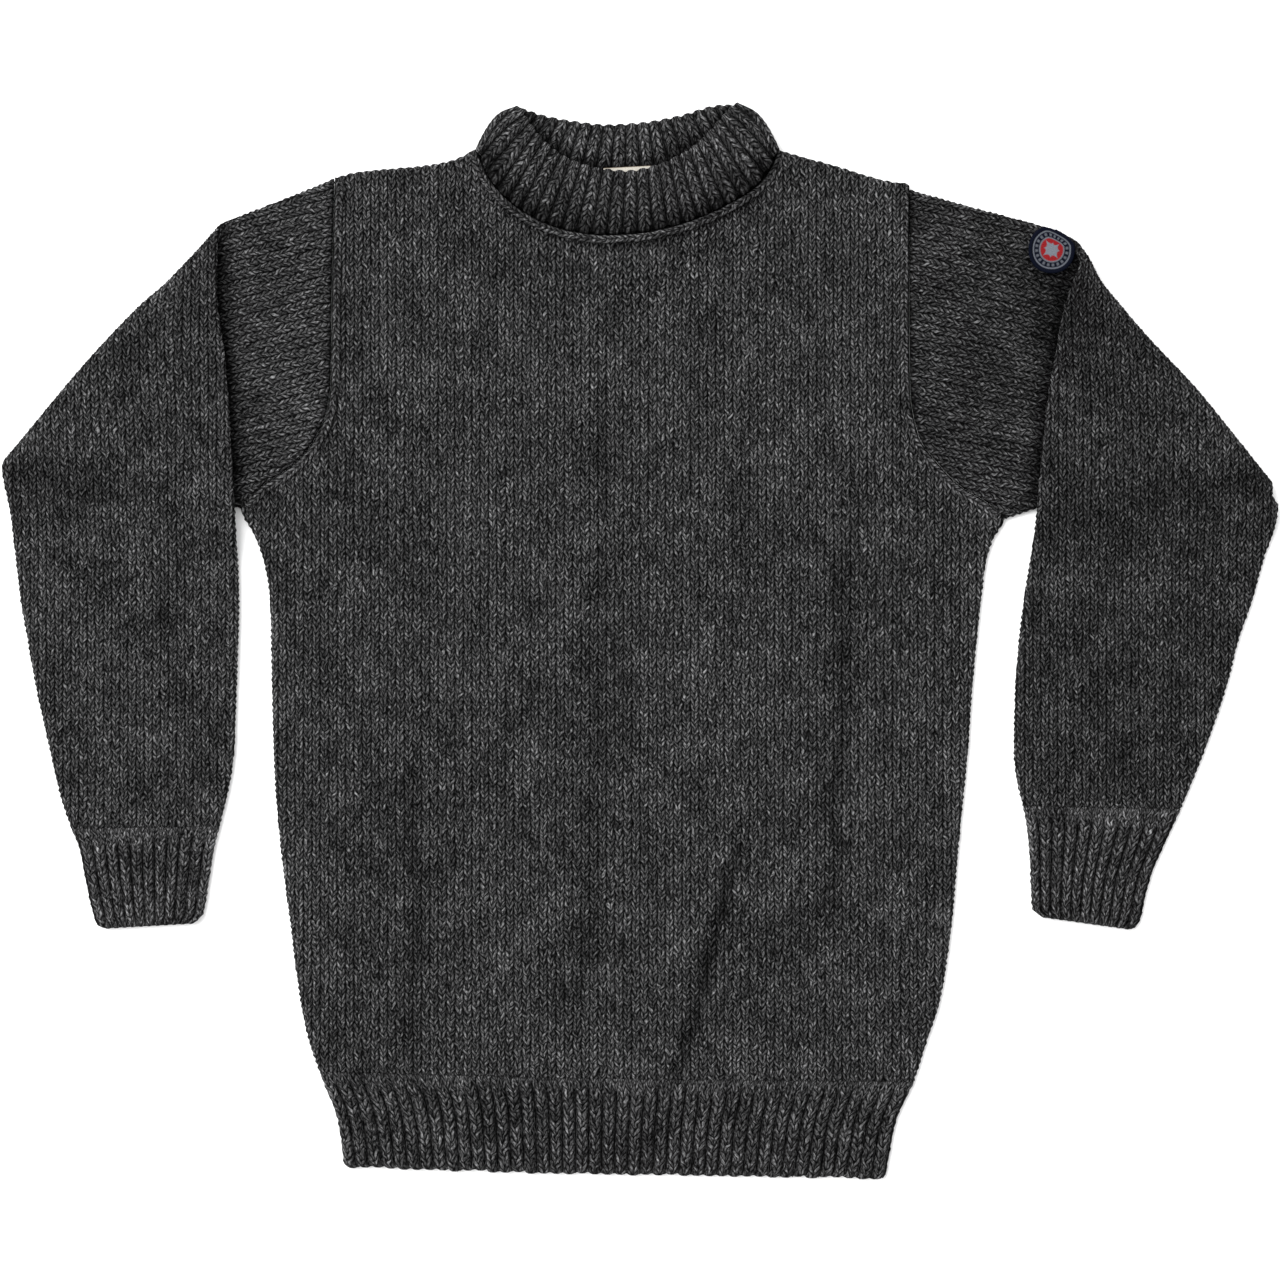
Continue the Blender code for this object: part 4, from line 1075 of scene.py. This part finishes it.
def collar_section():
    """The band's section, a long oval: shares of its height, reaches beyond its ends and sides.

    The side is +1 on the outer face and -1 on the inner one. Round an end at the angle a, the
    reach is sin a and the side cos a.
    """
    rows, cap = np.linspace(0, 1, 19), np.linspace(0, np.pi, 7)[1:-1]
    at = np.concatenate([rows, 0 * cap + 1, rows[::-1], 0 * cap])
    reach = np.concatenate([0 * rows, np.sin(cap), 0 * rows, -np.sin(cap)])
    side = np.concatenate([0 * rows + 1, np.cos(cap), 0 * rows - 1, -np.cos(cap)])
    return at[:, None], reach[:, None], side[:, None]


def band_half(u, v, shown=1):
    """Half the band's thickness at a stitch: a little over BAND / 2, less the ribs' relief."""
    relief = yarn().rib_relief / MM * 0.85
    return BAND / 2 + 0.5 - relief * (1 - rib_height(u, v)) * shown


def collar_half(front, section):
    """Front or back half of the band: its points, stitch coordinates and light.

    At a share h of its height, the band bulges by 2.6 sin(pi h) - 2.4 h^6 towards its own
    shoulder. The front half lies on the back one and comes down towards its seam.
    """
    at, reach, side = section
    count = yarn().collar_front_ribs if front else yarn().collar_back_ribs
    u = rib_columns(count)
    share = rib_share(u, count)
    clear = BAND / 2 + SEAM_GAP + (0.5 if front else 1.6)
    line = offset_line(
        NECK_FRONT if front else NECK_BACK, clear, (COLLAR_BASE_LEFT, COLLAR_BASE_RIGHT)
    )
    base = smooth_interp(share, np.linspace(0, 1, 81), line)
    top = spline(FRONT_TOP if front else BACK_TOP, share)
    lean = 0.09 * (leg_share(u) - 0.5)
    held = np.clip(at - lean * (np.sin(np.pi * at) > 0.01), 0, 1)
    place = base + held[..., None] * (top - base)
    run = (top - base) / np.linalg.norm(top - base, axis=1)[:, None]
    v = held * COLLAR_COURSES
    half_thick = band_half(u + 0 * at, v)
    place = place + (reach * half_thick)[..., None] * run
    outward = np.where(share[:, None] < 0.5, COLLAR_LEFT_OUT, COLLAR_RIGHT_OUT)
    from_end = np.minimum(share, 1 - share)
    bulge = (2.6 * np.sin(np.pi * held) - 2.4 * held ** 6) * (1 - ease(from_end / 0.08))
    place = place + bulge[..., None] * outward
    # Painted shade across the ribs and near the seam.
    light = rib_light_share(u, 0.95) * (1 - 0.35 * np.exp(-(held * COLLAR_HEIGHT / 5) ** 2))
    if front:
        low = ease((from_end - 0.10) / 0.16)
        z = COLLAR_RISE - (COLLAR_RISE - COLLAR_LOW) * low * (1 - ease(held / 0.62))
        z = z + side * half_thick
        # The seam lies in shade, and the lip catches the light.
        light = light * (0.52 + 0.48 * ease(held / 0.5)) * (1 + 0.22 * ease((held - 0.78) / 0.2))
    else:
        z = np.maximum(BAND / 2 - side * half_thick, 0.0)
        # Painted shade: the inside is painted darker where it goes down behind the front's lip.
        lip = np.interp(place[..., 0], [p.x for p in FRONT_TOP], [p.y for p in FRONT_TOP])
        inside = 0.30 + 0.80 * ease((place[..., 1] - lip - 2.5) / 13)
        light = light * np.where(side < 0.3, inside, 1.0)
    first = 0 if front else 2 * yarn().collar_front_ribs + 6
    return np.dstack([place, z]), np.stack([first + u + 0 * at, v], -1), light + 0 * held


def collar_turn(front, right, section):
    """Two more ribs round one end of the flattened ring, on half circles about its middle.

    Their radius is half the distance between the two bands, plus the side of the section times
    the band's half thickness. In the top third the turn narrows by up to 0.45.
    """
    at, _, side = section
    points, uv, _ = front
    pick, out = (-1, COLLAR_RIGHT_OUT) if right else (0, COLLAR_LEFT_OUT)
    centre, v = points[:, pick, :2], uv[:, pick, 1][:, None]
    turned = rib_columns(2)[1:-1]
    swing = np.pi * rib_share(turned, 2)
    swing = swing if right else np.pi - swing
    turn = (COLLAR_RISE - BAND / 2) / 2
    radius = turn + side * band_half(turned + 0 * v, v, side > -0.5)
    narrow = 1 - 0.45 * np.clip((at - 0.66) / 0.34, 0, 1) ** 2
    xy = centre[:, None] + (radius * narrow * np.sin(swing))[..., None] * np.array(out)
    z = np.maximum(BAND / 2 + turn + radius * np.cos(swing), 0)
    u = turned + (2 * yarn().collar_front_ribs if right else -4)
    # Painted light across the turned ribs, a little lighter than on the bands.
    light = rib_light_share(turned, 0.9) * (1.05 + 0 * v)
    return np.dstack([xy, z]), np.stack([u + 0 * v, v + 0 * u], -1), light


def collar_ring(name, material):
    """Doubled rib band: an oval section carried round the flattened ring of the neck."""
    section = collar_section()
    front, back = collar_half(True, section), collar_half(False, section)
    right, left = collar_turn(front, True, section), collar_turn(front, False, section)
    points, uv, light = (
        np.concatenate([a, b, c[:, ::-1], d], axis=1)
        for a, b, c, d in zip(front, right, back, left)
    )
    shell = Shell()
    index = shell.grid(points, uv, ring=True, shade=light)
    close = np.hstack([index, index[:, :1]])
    shell.bridge(close[-1], close[0])
    return shell.make(name, material)


class Graph:
    """Short way to write a material's nodes."""

    def __init__(self, name):
        self.material = bpy.data.materials.new(name)
        self.material.use_nodes = True
        self.tree = self.material.node_tree
        self.shader = self.tree.nodes["Principled BSDF"]

    def add(self, kind, sockets=(), **settings):
        """A new node with its settings, and its inputs linked or set."""
        node = self.tree.nodes.new(kind)
        for key, value in settings.items():
            setattr(node, key, value)
        for key, value in dict(sockets).items():
            self.put(node.inputs[key], value)
        return node

    def put(self, socket, value):
        """Links a socket to another, or sets its value."""
        if isinstance(value, bpy.types.NodeSocket):
            self.tree.links.new(value, socket)
        else:
            socket.default_value = value

    def math(self, operation, *values):
        """One step of arithmetic."""
        return self.add("ShaderNodeMath", dict(enumerate(values)), operation=operation).outputs[0]

    def vector(self, operation, *values):
        """One step of arithmetic on vectors or colours."""
        sockets = dict(enumerate(values))
        return self.add("ShaderNodeVectorMath", sockets, operation=operation).outputs[0]

    def noise(self, place, scale, detail, output="Fac", **more):
        """Noise of a scale, in features to a unit of the place that it reads."""
        sockets = {"Vector": place, "Scale": scale, "Detail": detail, **more}
        return self.add("ShaderNodeTexNoise", sockets).outputs[output]

    def ramp(self, value, stops):
        """A colour that runs through the stops, each a place and its colour."""
        node = self.add("ShaderNodeValToRGB", {"Fac": value})
        marks = node.color_ramp.elements
        for at, colour in stops[1:-1]:
            marks.new(at).color = (*colour, 1)
        marks[0].position, marks[0].color = stops[0][0], (*stops[0][1], 1)
        marks[-1].position, marks[-1].color = stops[-1][0], (*stops[-1][1], 1)
        return node.outputs["Color"]

    def spread(self, value, low, high, new_low, new_high):
        """The value's range from low to high, mapped in a straight line and held at its ends."""
        return self.add("ShaderNodeMapRange", {
            "Value": value, "From Min": low, "From Max": high,
            "To Min": new_low, "To Max": new_high,
        }).outputs[0]

    def finish(self, colour, height, strength, distance, **values):
        """Sets the shader: its colour, its bump and its plain values. Gives the material."""
        bump = self.add(
            "ShaderNodeBump", {"Height": height, "Strength": strength, "Distance": distance},
        )
        self.put(self.shader.inputs["Base Color"], colour)
        self.put(self.shader.inputs["Normal"], bump.outputs[0])
        for key, value in values.items():
            self.shader.inputs[FINISHES[key]].default_value = value
        return self.material


def wool(name, ribbed):
    """Heather wool: each leg of a stitch has its own tone, streaked with light and dark fibres.

    The leg share m is 0 on the middle of a wale and 1 on the groove, and the strand number is
    v + lean m. Noise that is drawn out along m gives the fibres. Shade is painted into the colour
    in the gaps: between strands, on the groove, on the middle of the wale and between the cords
    of a rib.
    """
    graph = Graph(name)
    math, spread = graph.math, graph.spread
    uv = graph.add("ShaderNodeUVMap", uv_map="stitch").outputs[0]
    sway = graph.vector("SUBTRACT", graph.noise(uv, 0.8, 1.0, "Color"), (0.5, 0.5, 0.5))
    sway = graph.vector("MULTIPLY", sway, (0.7, 1.1, 0.0))
    parts = graph.add("ShaderNodeSeparateXYZ", {0: graph.vector("ADD", uv, sway)})
    u, v = parts.outputs[0], parts.outputs[1]
    m = math("ABSOLUTE", math("SUBTRACT", math("MULTIPLY", math("FRACT", u), 2.0), 1.0))
    strand = math("ADD", v, math("MULTIPLY", m, yarn().lean))
    leg, cell = math("FLOOR", math("MULTIPLY", u, 2.0)), math("FLOOR", strand)
    place = graph.add("ShaderNodeCombineXYZ", {0: leg, 1: cell, 2: 3.7}).outputs[0]
    tone = graph.add("ShaderNodeTexWhiteNoise", {0: place}, noise_dimensions="3D").outputs[0]

    def streaks(along, across, shift):
        """Fibres: noise at (along m, across strand), shifted from leg to leg."""
        at = graph.add("ShaderNodeCombineXYZ", {
            0: math("ADD", math("MULTIPLY", m, along), math("MULTIPLY", leg, 5.37)),
            1: math("MULTIPLY", strand, across),
            2: math("ADD", math("MULTIPLY", cell, 0.31), shift),
        })
        return graph.noise(at.outputs[0], 1.0, 1.0, Roughness=0.6)

    coarse, fine = streaks(1.4, 4.0, 0.0), streaks(2.4, 9.0, 40.0)
    coordinates = graph.add("ShaderNodeTexCoord").outputs["Object"]
    cloudy, fleck = (graph.noise(coordinates, scale, 2.0) for scale in (34.0, 520.0))
    mixed = 0.0
    for part, weight in ((tone, 0.24), (coarse, 0.95), (fine, 1.1), (fleck, 1.3), (cloudy, 0.42)):
        mixed = math("ADD", mixed, math("MULTIPLY", math("SUBTRACT", part, 0.5), weight))
    palette = colours()
    heather = graph.ramp(math("ADD", mixed, 0.5), (
        (0.10, palette.dark), (0.34, [0.55 * c for c in palette.middle]), (0.52, palette.middle),
        (0.74, [0.42 * c for c in palette.light]), (0.98, palette.light),
    ))
    # Painted shade in the gaps: between strands, on the groove, mid-wale and between rib cords.
    across = math("SINE", math("MULTIPLY", math("FRACT", strand), np.pi))
    groove = spread(m, 0.86, 1.0, 1.0, 0.3) if ribbed else spread(m, 0.62, 0.98, 1.0, 0.0)
    middle = spread(m, 0.0, 0.25, 0.06 if ribbed else 0.12, 1.0)
    body = math("MULTIPLY", spread(across, 0.16, 0.84, 0.03, 1.0), math("MULTIPLY", groove, middle))
    hollow = graph.add("ShaderNodeAttribute", attribute_name="hollow").outputs["Fac"]
    # Painted light: the gaps' painted shade times each point's painted light and shade.
    depth = math("MULTIPLY", spread(body, 0.0, 1.0, 0.03, 1.0), hollow)
    relief = math("ADD", math("MULTIPLY", body, 0.8), math("MULTIPLY", fine, 0.8))
    relief = math("ADD", relief, math("MULTIPLY", coarse, 0.5))
    return graph.finish(
        graph.vector("MULTIPLY", heather, depth), relief, 0.6, 0.0009,
        roughness=0.95, specular=0.008, sheen=0.008, sheen_roughness=0.5,
    )


def thread_work(name, pitch):
    """Close stitching: colour from the piece's own attribute, with fine ridges of thread.

    The shade is 0.25 + 0.35 ridges + grain. The ridges are waves, 0.31 of the pitch from one to
    the next, and the grain is fine noise. The pitch is in metres.
    """
    graph = Graph(name)
    colour = graph.add("ShaderNodeAttribute", attribute_name="thread").outputs["Color"]
    coordinates = graph.add("ShaderNodeTexCoord").outputs["Object"]
    turned = graph.add("ShaderNodeMapping", {"Vector": coordinates, "Rotation": (0, 0, 0.5)})
    ridges = graph.add(
        "ShaderNodeTexWave", {"Vector": turned.outputs[0], "Scale": 1 / pitch, "Distortion": 1.5},
        wave_type="BANDS",
    ).outputs["Fac"]
    grain = graph.noise(coordinates, 1900.0, 2.0)
    shade = graph.math("ADD", graph.math("ADD", graph.math("MULTIPLY", ridges, 0.35), grain), 0.25)
    return graph.finish(
        graph.vector("MULTIPLY", colour, shade), graph.math("ADD", ridges, grain), 0.5, 0.0004,
        roughness=0.55, specular=0.02, sheen=0.006,
    )


FINISHES = {
    "roughness": "Roughness", "specular": "Specular IOR Level", "sheen": "Sheen Weight",
    "sheen_roughness": "Sheen Roughness",
}
MATERIALS = {
    "wool_knit": (wool, False),
    "wool_rib": (wool, True),
    "patch_thread": (thread_work, 0.0025),
    "label_weave": (thread_work, 0.0016),
}


def material(name):
    """The named material, made the first time that it is asked for."""
    known = bpy.data.materials.get(name)
    if known:
        return known
    make, setting = MATERIALS[name]
    return make(name, setting)


def paint(piece, colour):
    """Writes one colour a point into the piece's thread attribute."""
    layer = piece.data.color_attributes.new("thread", "FLOAT_COLOR", "POINT")
    layer.data.foreach_set("color", np.hstack([colour, np.ones((len(colour), 1))]).ravel())


def seam_chain(name, path, half_width, foot, rise):
    """Row of chain stitches where two pieces are sewn together."""
    shell = Shell()
    ribbon(shell, path, half_width, foot, rise, 200, yarn().course / MM)
    piece = shell.make(name, material("wool_knit"))
    return piece


def patch_outline(angle):
    """Half width of the patch at an angle: a soft circle, flatter where it bends over the edge."""
    round_x = np.sign(np.cos(angle)) * np.abs(np.cos(angle)) ** 0.94 * BADGE.width / 2
    round_y = np.sign(np.sin(angle)) * np.abs(np.sin(angle)) ** 0.94 * BADGE.height / 2
    over = np.clip(round_x * BADGE_OVER[0] + round_y * BADGE_OVER[1] - BADGE_BEND, 0, None)
    return round_x - BADGE_OVER[0] * 0.6 * over, round_y - BADGE_OVER[1] * 0.6 * over


def sleeve_patch():
    """Round embroidered patch: a disc in polar steps, with a whipped border round it.

    The height over the cloth is 1, plus 0.16 of the motif's, plus a half round for the border
    from BADGE_BORDER to 1 of the radius, with small ridges where its threads wrap over the edge.
    """
    angle = np.linspace(0, 2 * np.pi, 181)[:-1]
    rest = (1 - BADGE_BORDER) * (1 - np.cos(np.linspace(0, np.pi, 9)[1:])) / 2
    share = np.concatenate([np.linspace(0, BADGE_BORDER, 29), BADGE_BORDER + rest])[1:, None]
    edge_x, edge_y = patch_outline(angle)
    wrap = 0.5 + 0.5 * np.sin(60 * angle)
    border = np.clip((share - BADGE_BORDER) / (1 - BADGE_BORDER), 0, 1)
    x = BADGE.x + share * edge_x * (1 + 0.012 * wrap * border)
    y = BADGE.y + share * edge_y * (1 + 0.012 * wrap * border)
    # The sleeve's top edge falls away under the patch.
    start, corner = np.array(ARM_RIGHT.armhole[-1]), np.array(ARM_RIGHT.axis_top)
    run = (corner - start) / np.linalg.norm(corner - start)
    inset = (x - start[0]) * run[1] - (y - start[1]) * run[0]
    surface = HALF + HALF * rounding(inset + BADGE.bow + 0.6)
    motif, _ = patch_colours(share, angle, x * 0)
    half_round = np.sqrt(np.clip(1 - (2 * border - 1) ** 2, 0, 1)) * (border > 0)
    raised = 1.0 + 0.16 * motif + half_round * (0.75 + 0.15 * wrap)
    raised = np.where(share > 0.9999, 0.35, raised)
    shell = Shell()
    foot, uv = surface + BADGE.clear, np.stack([x, y], -1)
    index = shell.grid(np.dstack([x, y, foot + raised]), uv, ring=True)
    under = np.dstack([x, y, foot])[[-1, 0]]
    base = shell.grid(under, uv[[-1, 0]], ring=True)
    shell.bridge(np.append(index[-1], index[-1, 0]), np.append(base[0], base[0, 0]))
    shell.plates += [index[0], base[1]]
    piece = shell.make("badge_patch", material("patch_thread"))
    points = points_of(piece) / MM
    dx, dy = points[:, 0] - BADGE.x, points[:, 1] - BADGE.y
    at = np.arctan2(dy * BADGE.width, dx * BADGE.height)
    reach = np.hypot(*patch_outline(at))
    _, colour = patch_colours(np.hypot(dx, dy) / reach, at, dx * 0)
    paint(piece, colour)
    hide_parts("sleeve_badge")


def patch_colours(share, angle, zero):
    """Rings of the patch from its middle out, and how far each stands up from the ground.

    The star has eight points: its radius is 0.36 of the patch over |cos|^0.7 + 0.75 |sin|^0.7
    of twice the angle. The ring of dashes has twenty of them.
    """
    palette = colours()
    navy, pale, red = (np.array(c) for c in (palette.navy, palette.pale, palette.red))
    turned = angle + 0.2
    star = 0.36 / (np.abs(np.cos(2 * turned)) ** 0.7 + 0.75 * np.abs(np.sin(2 * turned)) ** 0.7)
    soft = 0.03

    def inside(limit):
        """1 inside a radius and 0 outside it."""
        return np.clip((limit - share) / soft + 0.5, 0, 1)

    def between(low, high):
        """1 between two radii and 0 elsewhere."""
        return np.clip((share - low) / soft + 0.5, 0, 1) * inside(high)

    dashes = np.clip(np.sin(20 * angle) * 2.5 + 0.6, 0, 1)
    layers = (
        (inside(0.50), red, 0.7),
        (inside(star), pale * 1.3, 1.0),
        (between(0.49, 0.55), pale, 1.0),
        (between(0.60, 0.72) * dashes, pale * 0.75, 0.8),
        (between(0.77, 0.83), pale, 1.0),
    )
    colour, raised = navy + 0 * zero[..., None], zero
    for mask, tint, height in layers:
        colour = colour + (mask + zero)[..., None] * (tint - colour)
        raised = raised + (mask + zero) * (height - raised)
    return raised, colour


def neck_label():
    """Woven label: a thin plain strip on the back band, with a shadow painted along its upper edge.
    """
    across, up = np.linspace(0, 1, 61), np.linspace(0, 1, 25)[:, None]
    x = LABEL.left + across * (LABEL.right - LABEL.left)
    low, top = LABEL.low, LABEL.top
    y = low + up * (top - low) + LABEL.tilt * (x - x.mean())
    x = x + 0 * up
    wave = 0.12 * np.sin(across * 14) * up
    shell = Shell()
    uv = np.stack([x, y], -1)
    faces = [
        shell.grid(np.stack([x, y, LABEL.under + height + wave + 0 * up], -1), uv)
        for height in (LABEL.thick, 0.0)
    ]
    rims = [np.append(boundary(face), face[0, 0]) for face in faces]
    shell.bridge(*rims)
    piece = shell.make("label_weave", material("label_weave"))
    points = points_of(piece) / MM
    height = points[:, 1] - LABEL.tilt * (points[:, 0] - x.mean())
    # Painted shadow: a dark line along the label's upper edge.
    edge_shadow = np.clip((height - top + 0.75) / 0.3, 0, 1)[:, None]
    tint = np.array(colours().label)
    paint(piece, tint * (1 - edge_shadow) + np.array(LABEL_EDGE_SHADOW) * edge_shadow)
    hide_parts("neck_label")


class SWEATER_OT_panels(bpy.types.Operator):
    """Front and back panels in stocking stitch"""
    bl_idname = "sweater.panels"
    bl_label = "Body panels"

    def execute(self, context):
        front = body_panel("knit_front_panel", NECK_FRONT, True, material("wool_knit"))
        cloth(front, "front_panel")
        back = body_panel("knit_back_panel", NECK_BACK, False, material("wool_knit"))
        cloth(back, "back_panel")
        return {"FINISHED"}


class SWEATER_OT_hem(bpy.types.Operator):
    """Ribbed hem bands of the front and back"""
    bl_idname = "sweater.hem"
    bl_label = "Hem ribs"

    def execute(self, context):
        front = hem_band("knit_front_hem", True, material("wool_rib"))
        cloth(front, "front_hem_rib")
        back = hem_band("knit_back_hem", False, material("wool_rib"))
        cloth(back, "back_hem_rib")
        return {"FINISHED"}


class SWEATER_OT_sleeves(bpy.types.Operator):
    """Both sleeves, each an upper sleeve and a forearm that rolls over the fold"""
    bl_idname = "sweater.sleeves"
    bl_label = "Sleeves"

    def execute(self, context):
        for arm in ARMS:
            node = f"sleeve_{arm.name}"
            for part in ("upper", "forearm"):
                piece, flat, area = knitted_tube(
                    f"knit_{node}_{part}", arm, part, material("wool_knit")
                )
                cloth(piece, node, flat=flat, area=area)
        return {"FINISHED"}


class SWEATER_OT_cuffs(bpy.types.Operator):
    """Ribbed cuffs"""
    bl_idname = "sweater.cuffs"
    bl_label = "Cuffs"

    def execute(self, context):
        for arm in ARMS:
            piece = cuff_tube(f"knit_cuff_{arm.name}", arm, material("wool_rib"))
            cloth(
                piece, f"cuff_{arm.name}", flat=(0.21, 0.078),
                area=2 * plan_area(piece),
            )
        return {"FINISHED"}


class SWEATER_OT_collar(bpy.types.Operator):
    """Doubled rib collar"""
    bl_idname = "sweater.collar"
    bl_label = "Collar"

    def execute(self, context):
        piece = collar_ring("knit_collar", material("wool_rib"))
        cloth(
            piece, "collar_band",
            flat=(0.468, 0.046), area=0.468 * 0.046,
        )
        return {"FINISHED"}


class SWEATER_OT_seams(bpy.types.Operator):
    """Chain stitches along the armholes and under the collar"""
    bl_idname = "sweater.seams"
    bl_label = "Seams"

    def execute(self, context):
        top = SLAB - 0.5
        seam_chain("seam_collar", shift_line(NECK_FRONT, -2.6), 3.0, top - 0.8, 3.0)
        for name, edges, shift in (("left", BODY_LEFT, -3.6), ("right", BODY_RIGHT, 3.6)):
            path = shift_line(edges[UNDERARM:], shift)[3:-2]
            seam_chain(f"seam_armhole_{name}", path, 3.0, top, 2.0)
        return {"FINISHED"}


class SWEATER_OT_trims(bpy.types.Operator):
    """Plain woven neck label and round embroidered patch"""
    bl_idname = "sweater.trims"
    bl_label = "Label and patch"

    def execute(self, context):
        neck_label()
        sleeve_patch()
        return {"FINISHED"}


class SWEATER_OT_stage(bpy.types.Operator):
    """Pale floor, soft light and the camera straight above"""
    bl_idname = "sweater.stage"
    bl_label = "Stage"

    def execute(self, context):
        scene = context.scene
        mesh = bpy.data.meshes.new("floor")
        corners = [(-6.0, -6.0, 0), (6.0, -6.0, 0), (6.0, 6.0, 0), (-6.0, 6.0, 0)]
        mesh.from_pydata(corners, [], [(0, 1, 2, 3)])
        floor = bpy.data.objects.new("floor", mesh)
        scene.collection.objects.link(floor)
        graph = Graph("floor_paper")
        graph.shader.inputs["Base Color"].default_value = (*colours().floor, 1)
        graph.shader.inputs["Roughness"].default_value = 0.9
        mesh.materials.append(graph.material)
        floor.location.z = -0.0004
        world = bpy.data.worlds.new("soft_room")
        world.use_nodes = True
        world.node_tree.nodes["Background"].inputs["Color"].default_value = (1, 1, 1, 1)
        world.node_tree.nodes["Background"].inputs["Strength"].default_value = 1.12
        scene.world = world
        sun = bpy.data.lights.new("softbox", "SUN")
        sun.energy = 3.8
        sun.angle = 1.0
        lamp = bpy.data.objects.new("softbox", sun)
        lamp.rotation_euler = (-0.43, -0.65, 0.0)
        scene.collection.objects.link(lamp)
        camera = bpy.data.cameras.new("camera")
        height, across = 3.0, PHOTO_WIDTH * MM
        camera.sensor_width = 36.0
        camera.lens = camera.sensor_width * height / across
        view = bpy.data.objects.new("camera", camera)
        view.location = (0.0, 0.0, height)
        scene.collection.objects.link(view)
        scene.camera = view
        scene.view_settings.view_transform = "Standard"
        return {"FINISHED"}


OPERATORS = (
    SWEATER_OT_panels, SWEATER_OT_hem, SWEATER_OT_sleeves, SWEATER_OT_cuffs, SWEATER_OT_collar,
    SWEATER_OT_seams, SWEATER_OT_trims, SWEATER_OT_stage,
)


class SWEATER_PT_panel(bpy.types.Panel):
    """Every setting of the sweater and its operators"""
    bl_label = "Wool Sweater"
    bl_idname = "SWEATER_PT_panel"
    bl_space_type = "VIEW_3D"
    bl_region_type = "UI"
    bl_category = "Sweater"

    def draw(self, context):
        for group in (context.scene.sweater_yarn, context.scene.sweater_colours):
            for name in group.bl_rna.properties.keys()[2:]:
                self.layout.prop(group, name)
        for operator in OPERATORS:
            self.layout.operator(operator.bl_idname)


CLASSES = (SweaterYarn, SweaterColours, *OPERATORS, SWEATER_PT_panel)


def register():
    """Adds the settings, operators and panel."""
    for item in CLASSES:
        bpy.utils.register_class(item)
    bpy.types.Scene.sweater_yarn = PointerProperty(type=SweaterYarn)
    bpy.types.Scene.sweater_colours = PointerProperty(type=SweaterColours)


def unregister():
    """Takes them out again."""
    del bpy.types.Scene.sweater_colours
    del bpy.types.Scene.sweater_yarn
    for item in reversed(CLASSES):
        bpy.utils.unregister_class(item)


def main():
    """Builds the sweater and its stage."""
    register()
    for operator in OPERATORS:
        group, name = operator.bl_idname.split(".")
        getattr(getattr(bpy.ops, group), name)()


if __name__ == "__main__":
    main()
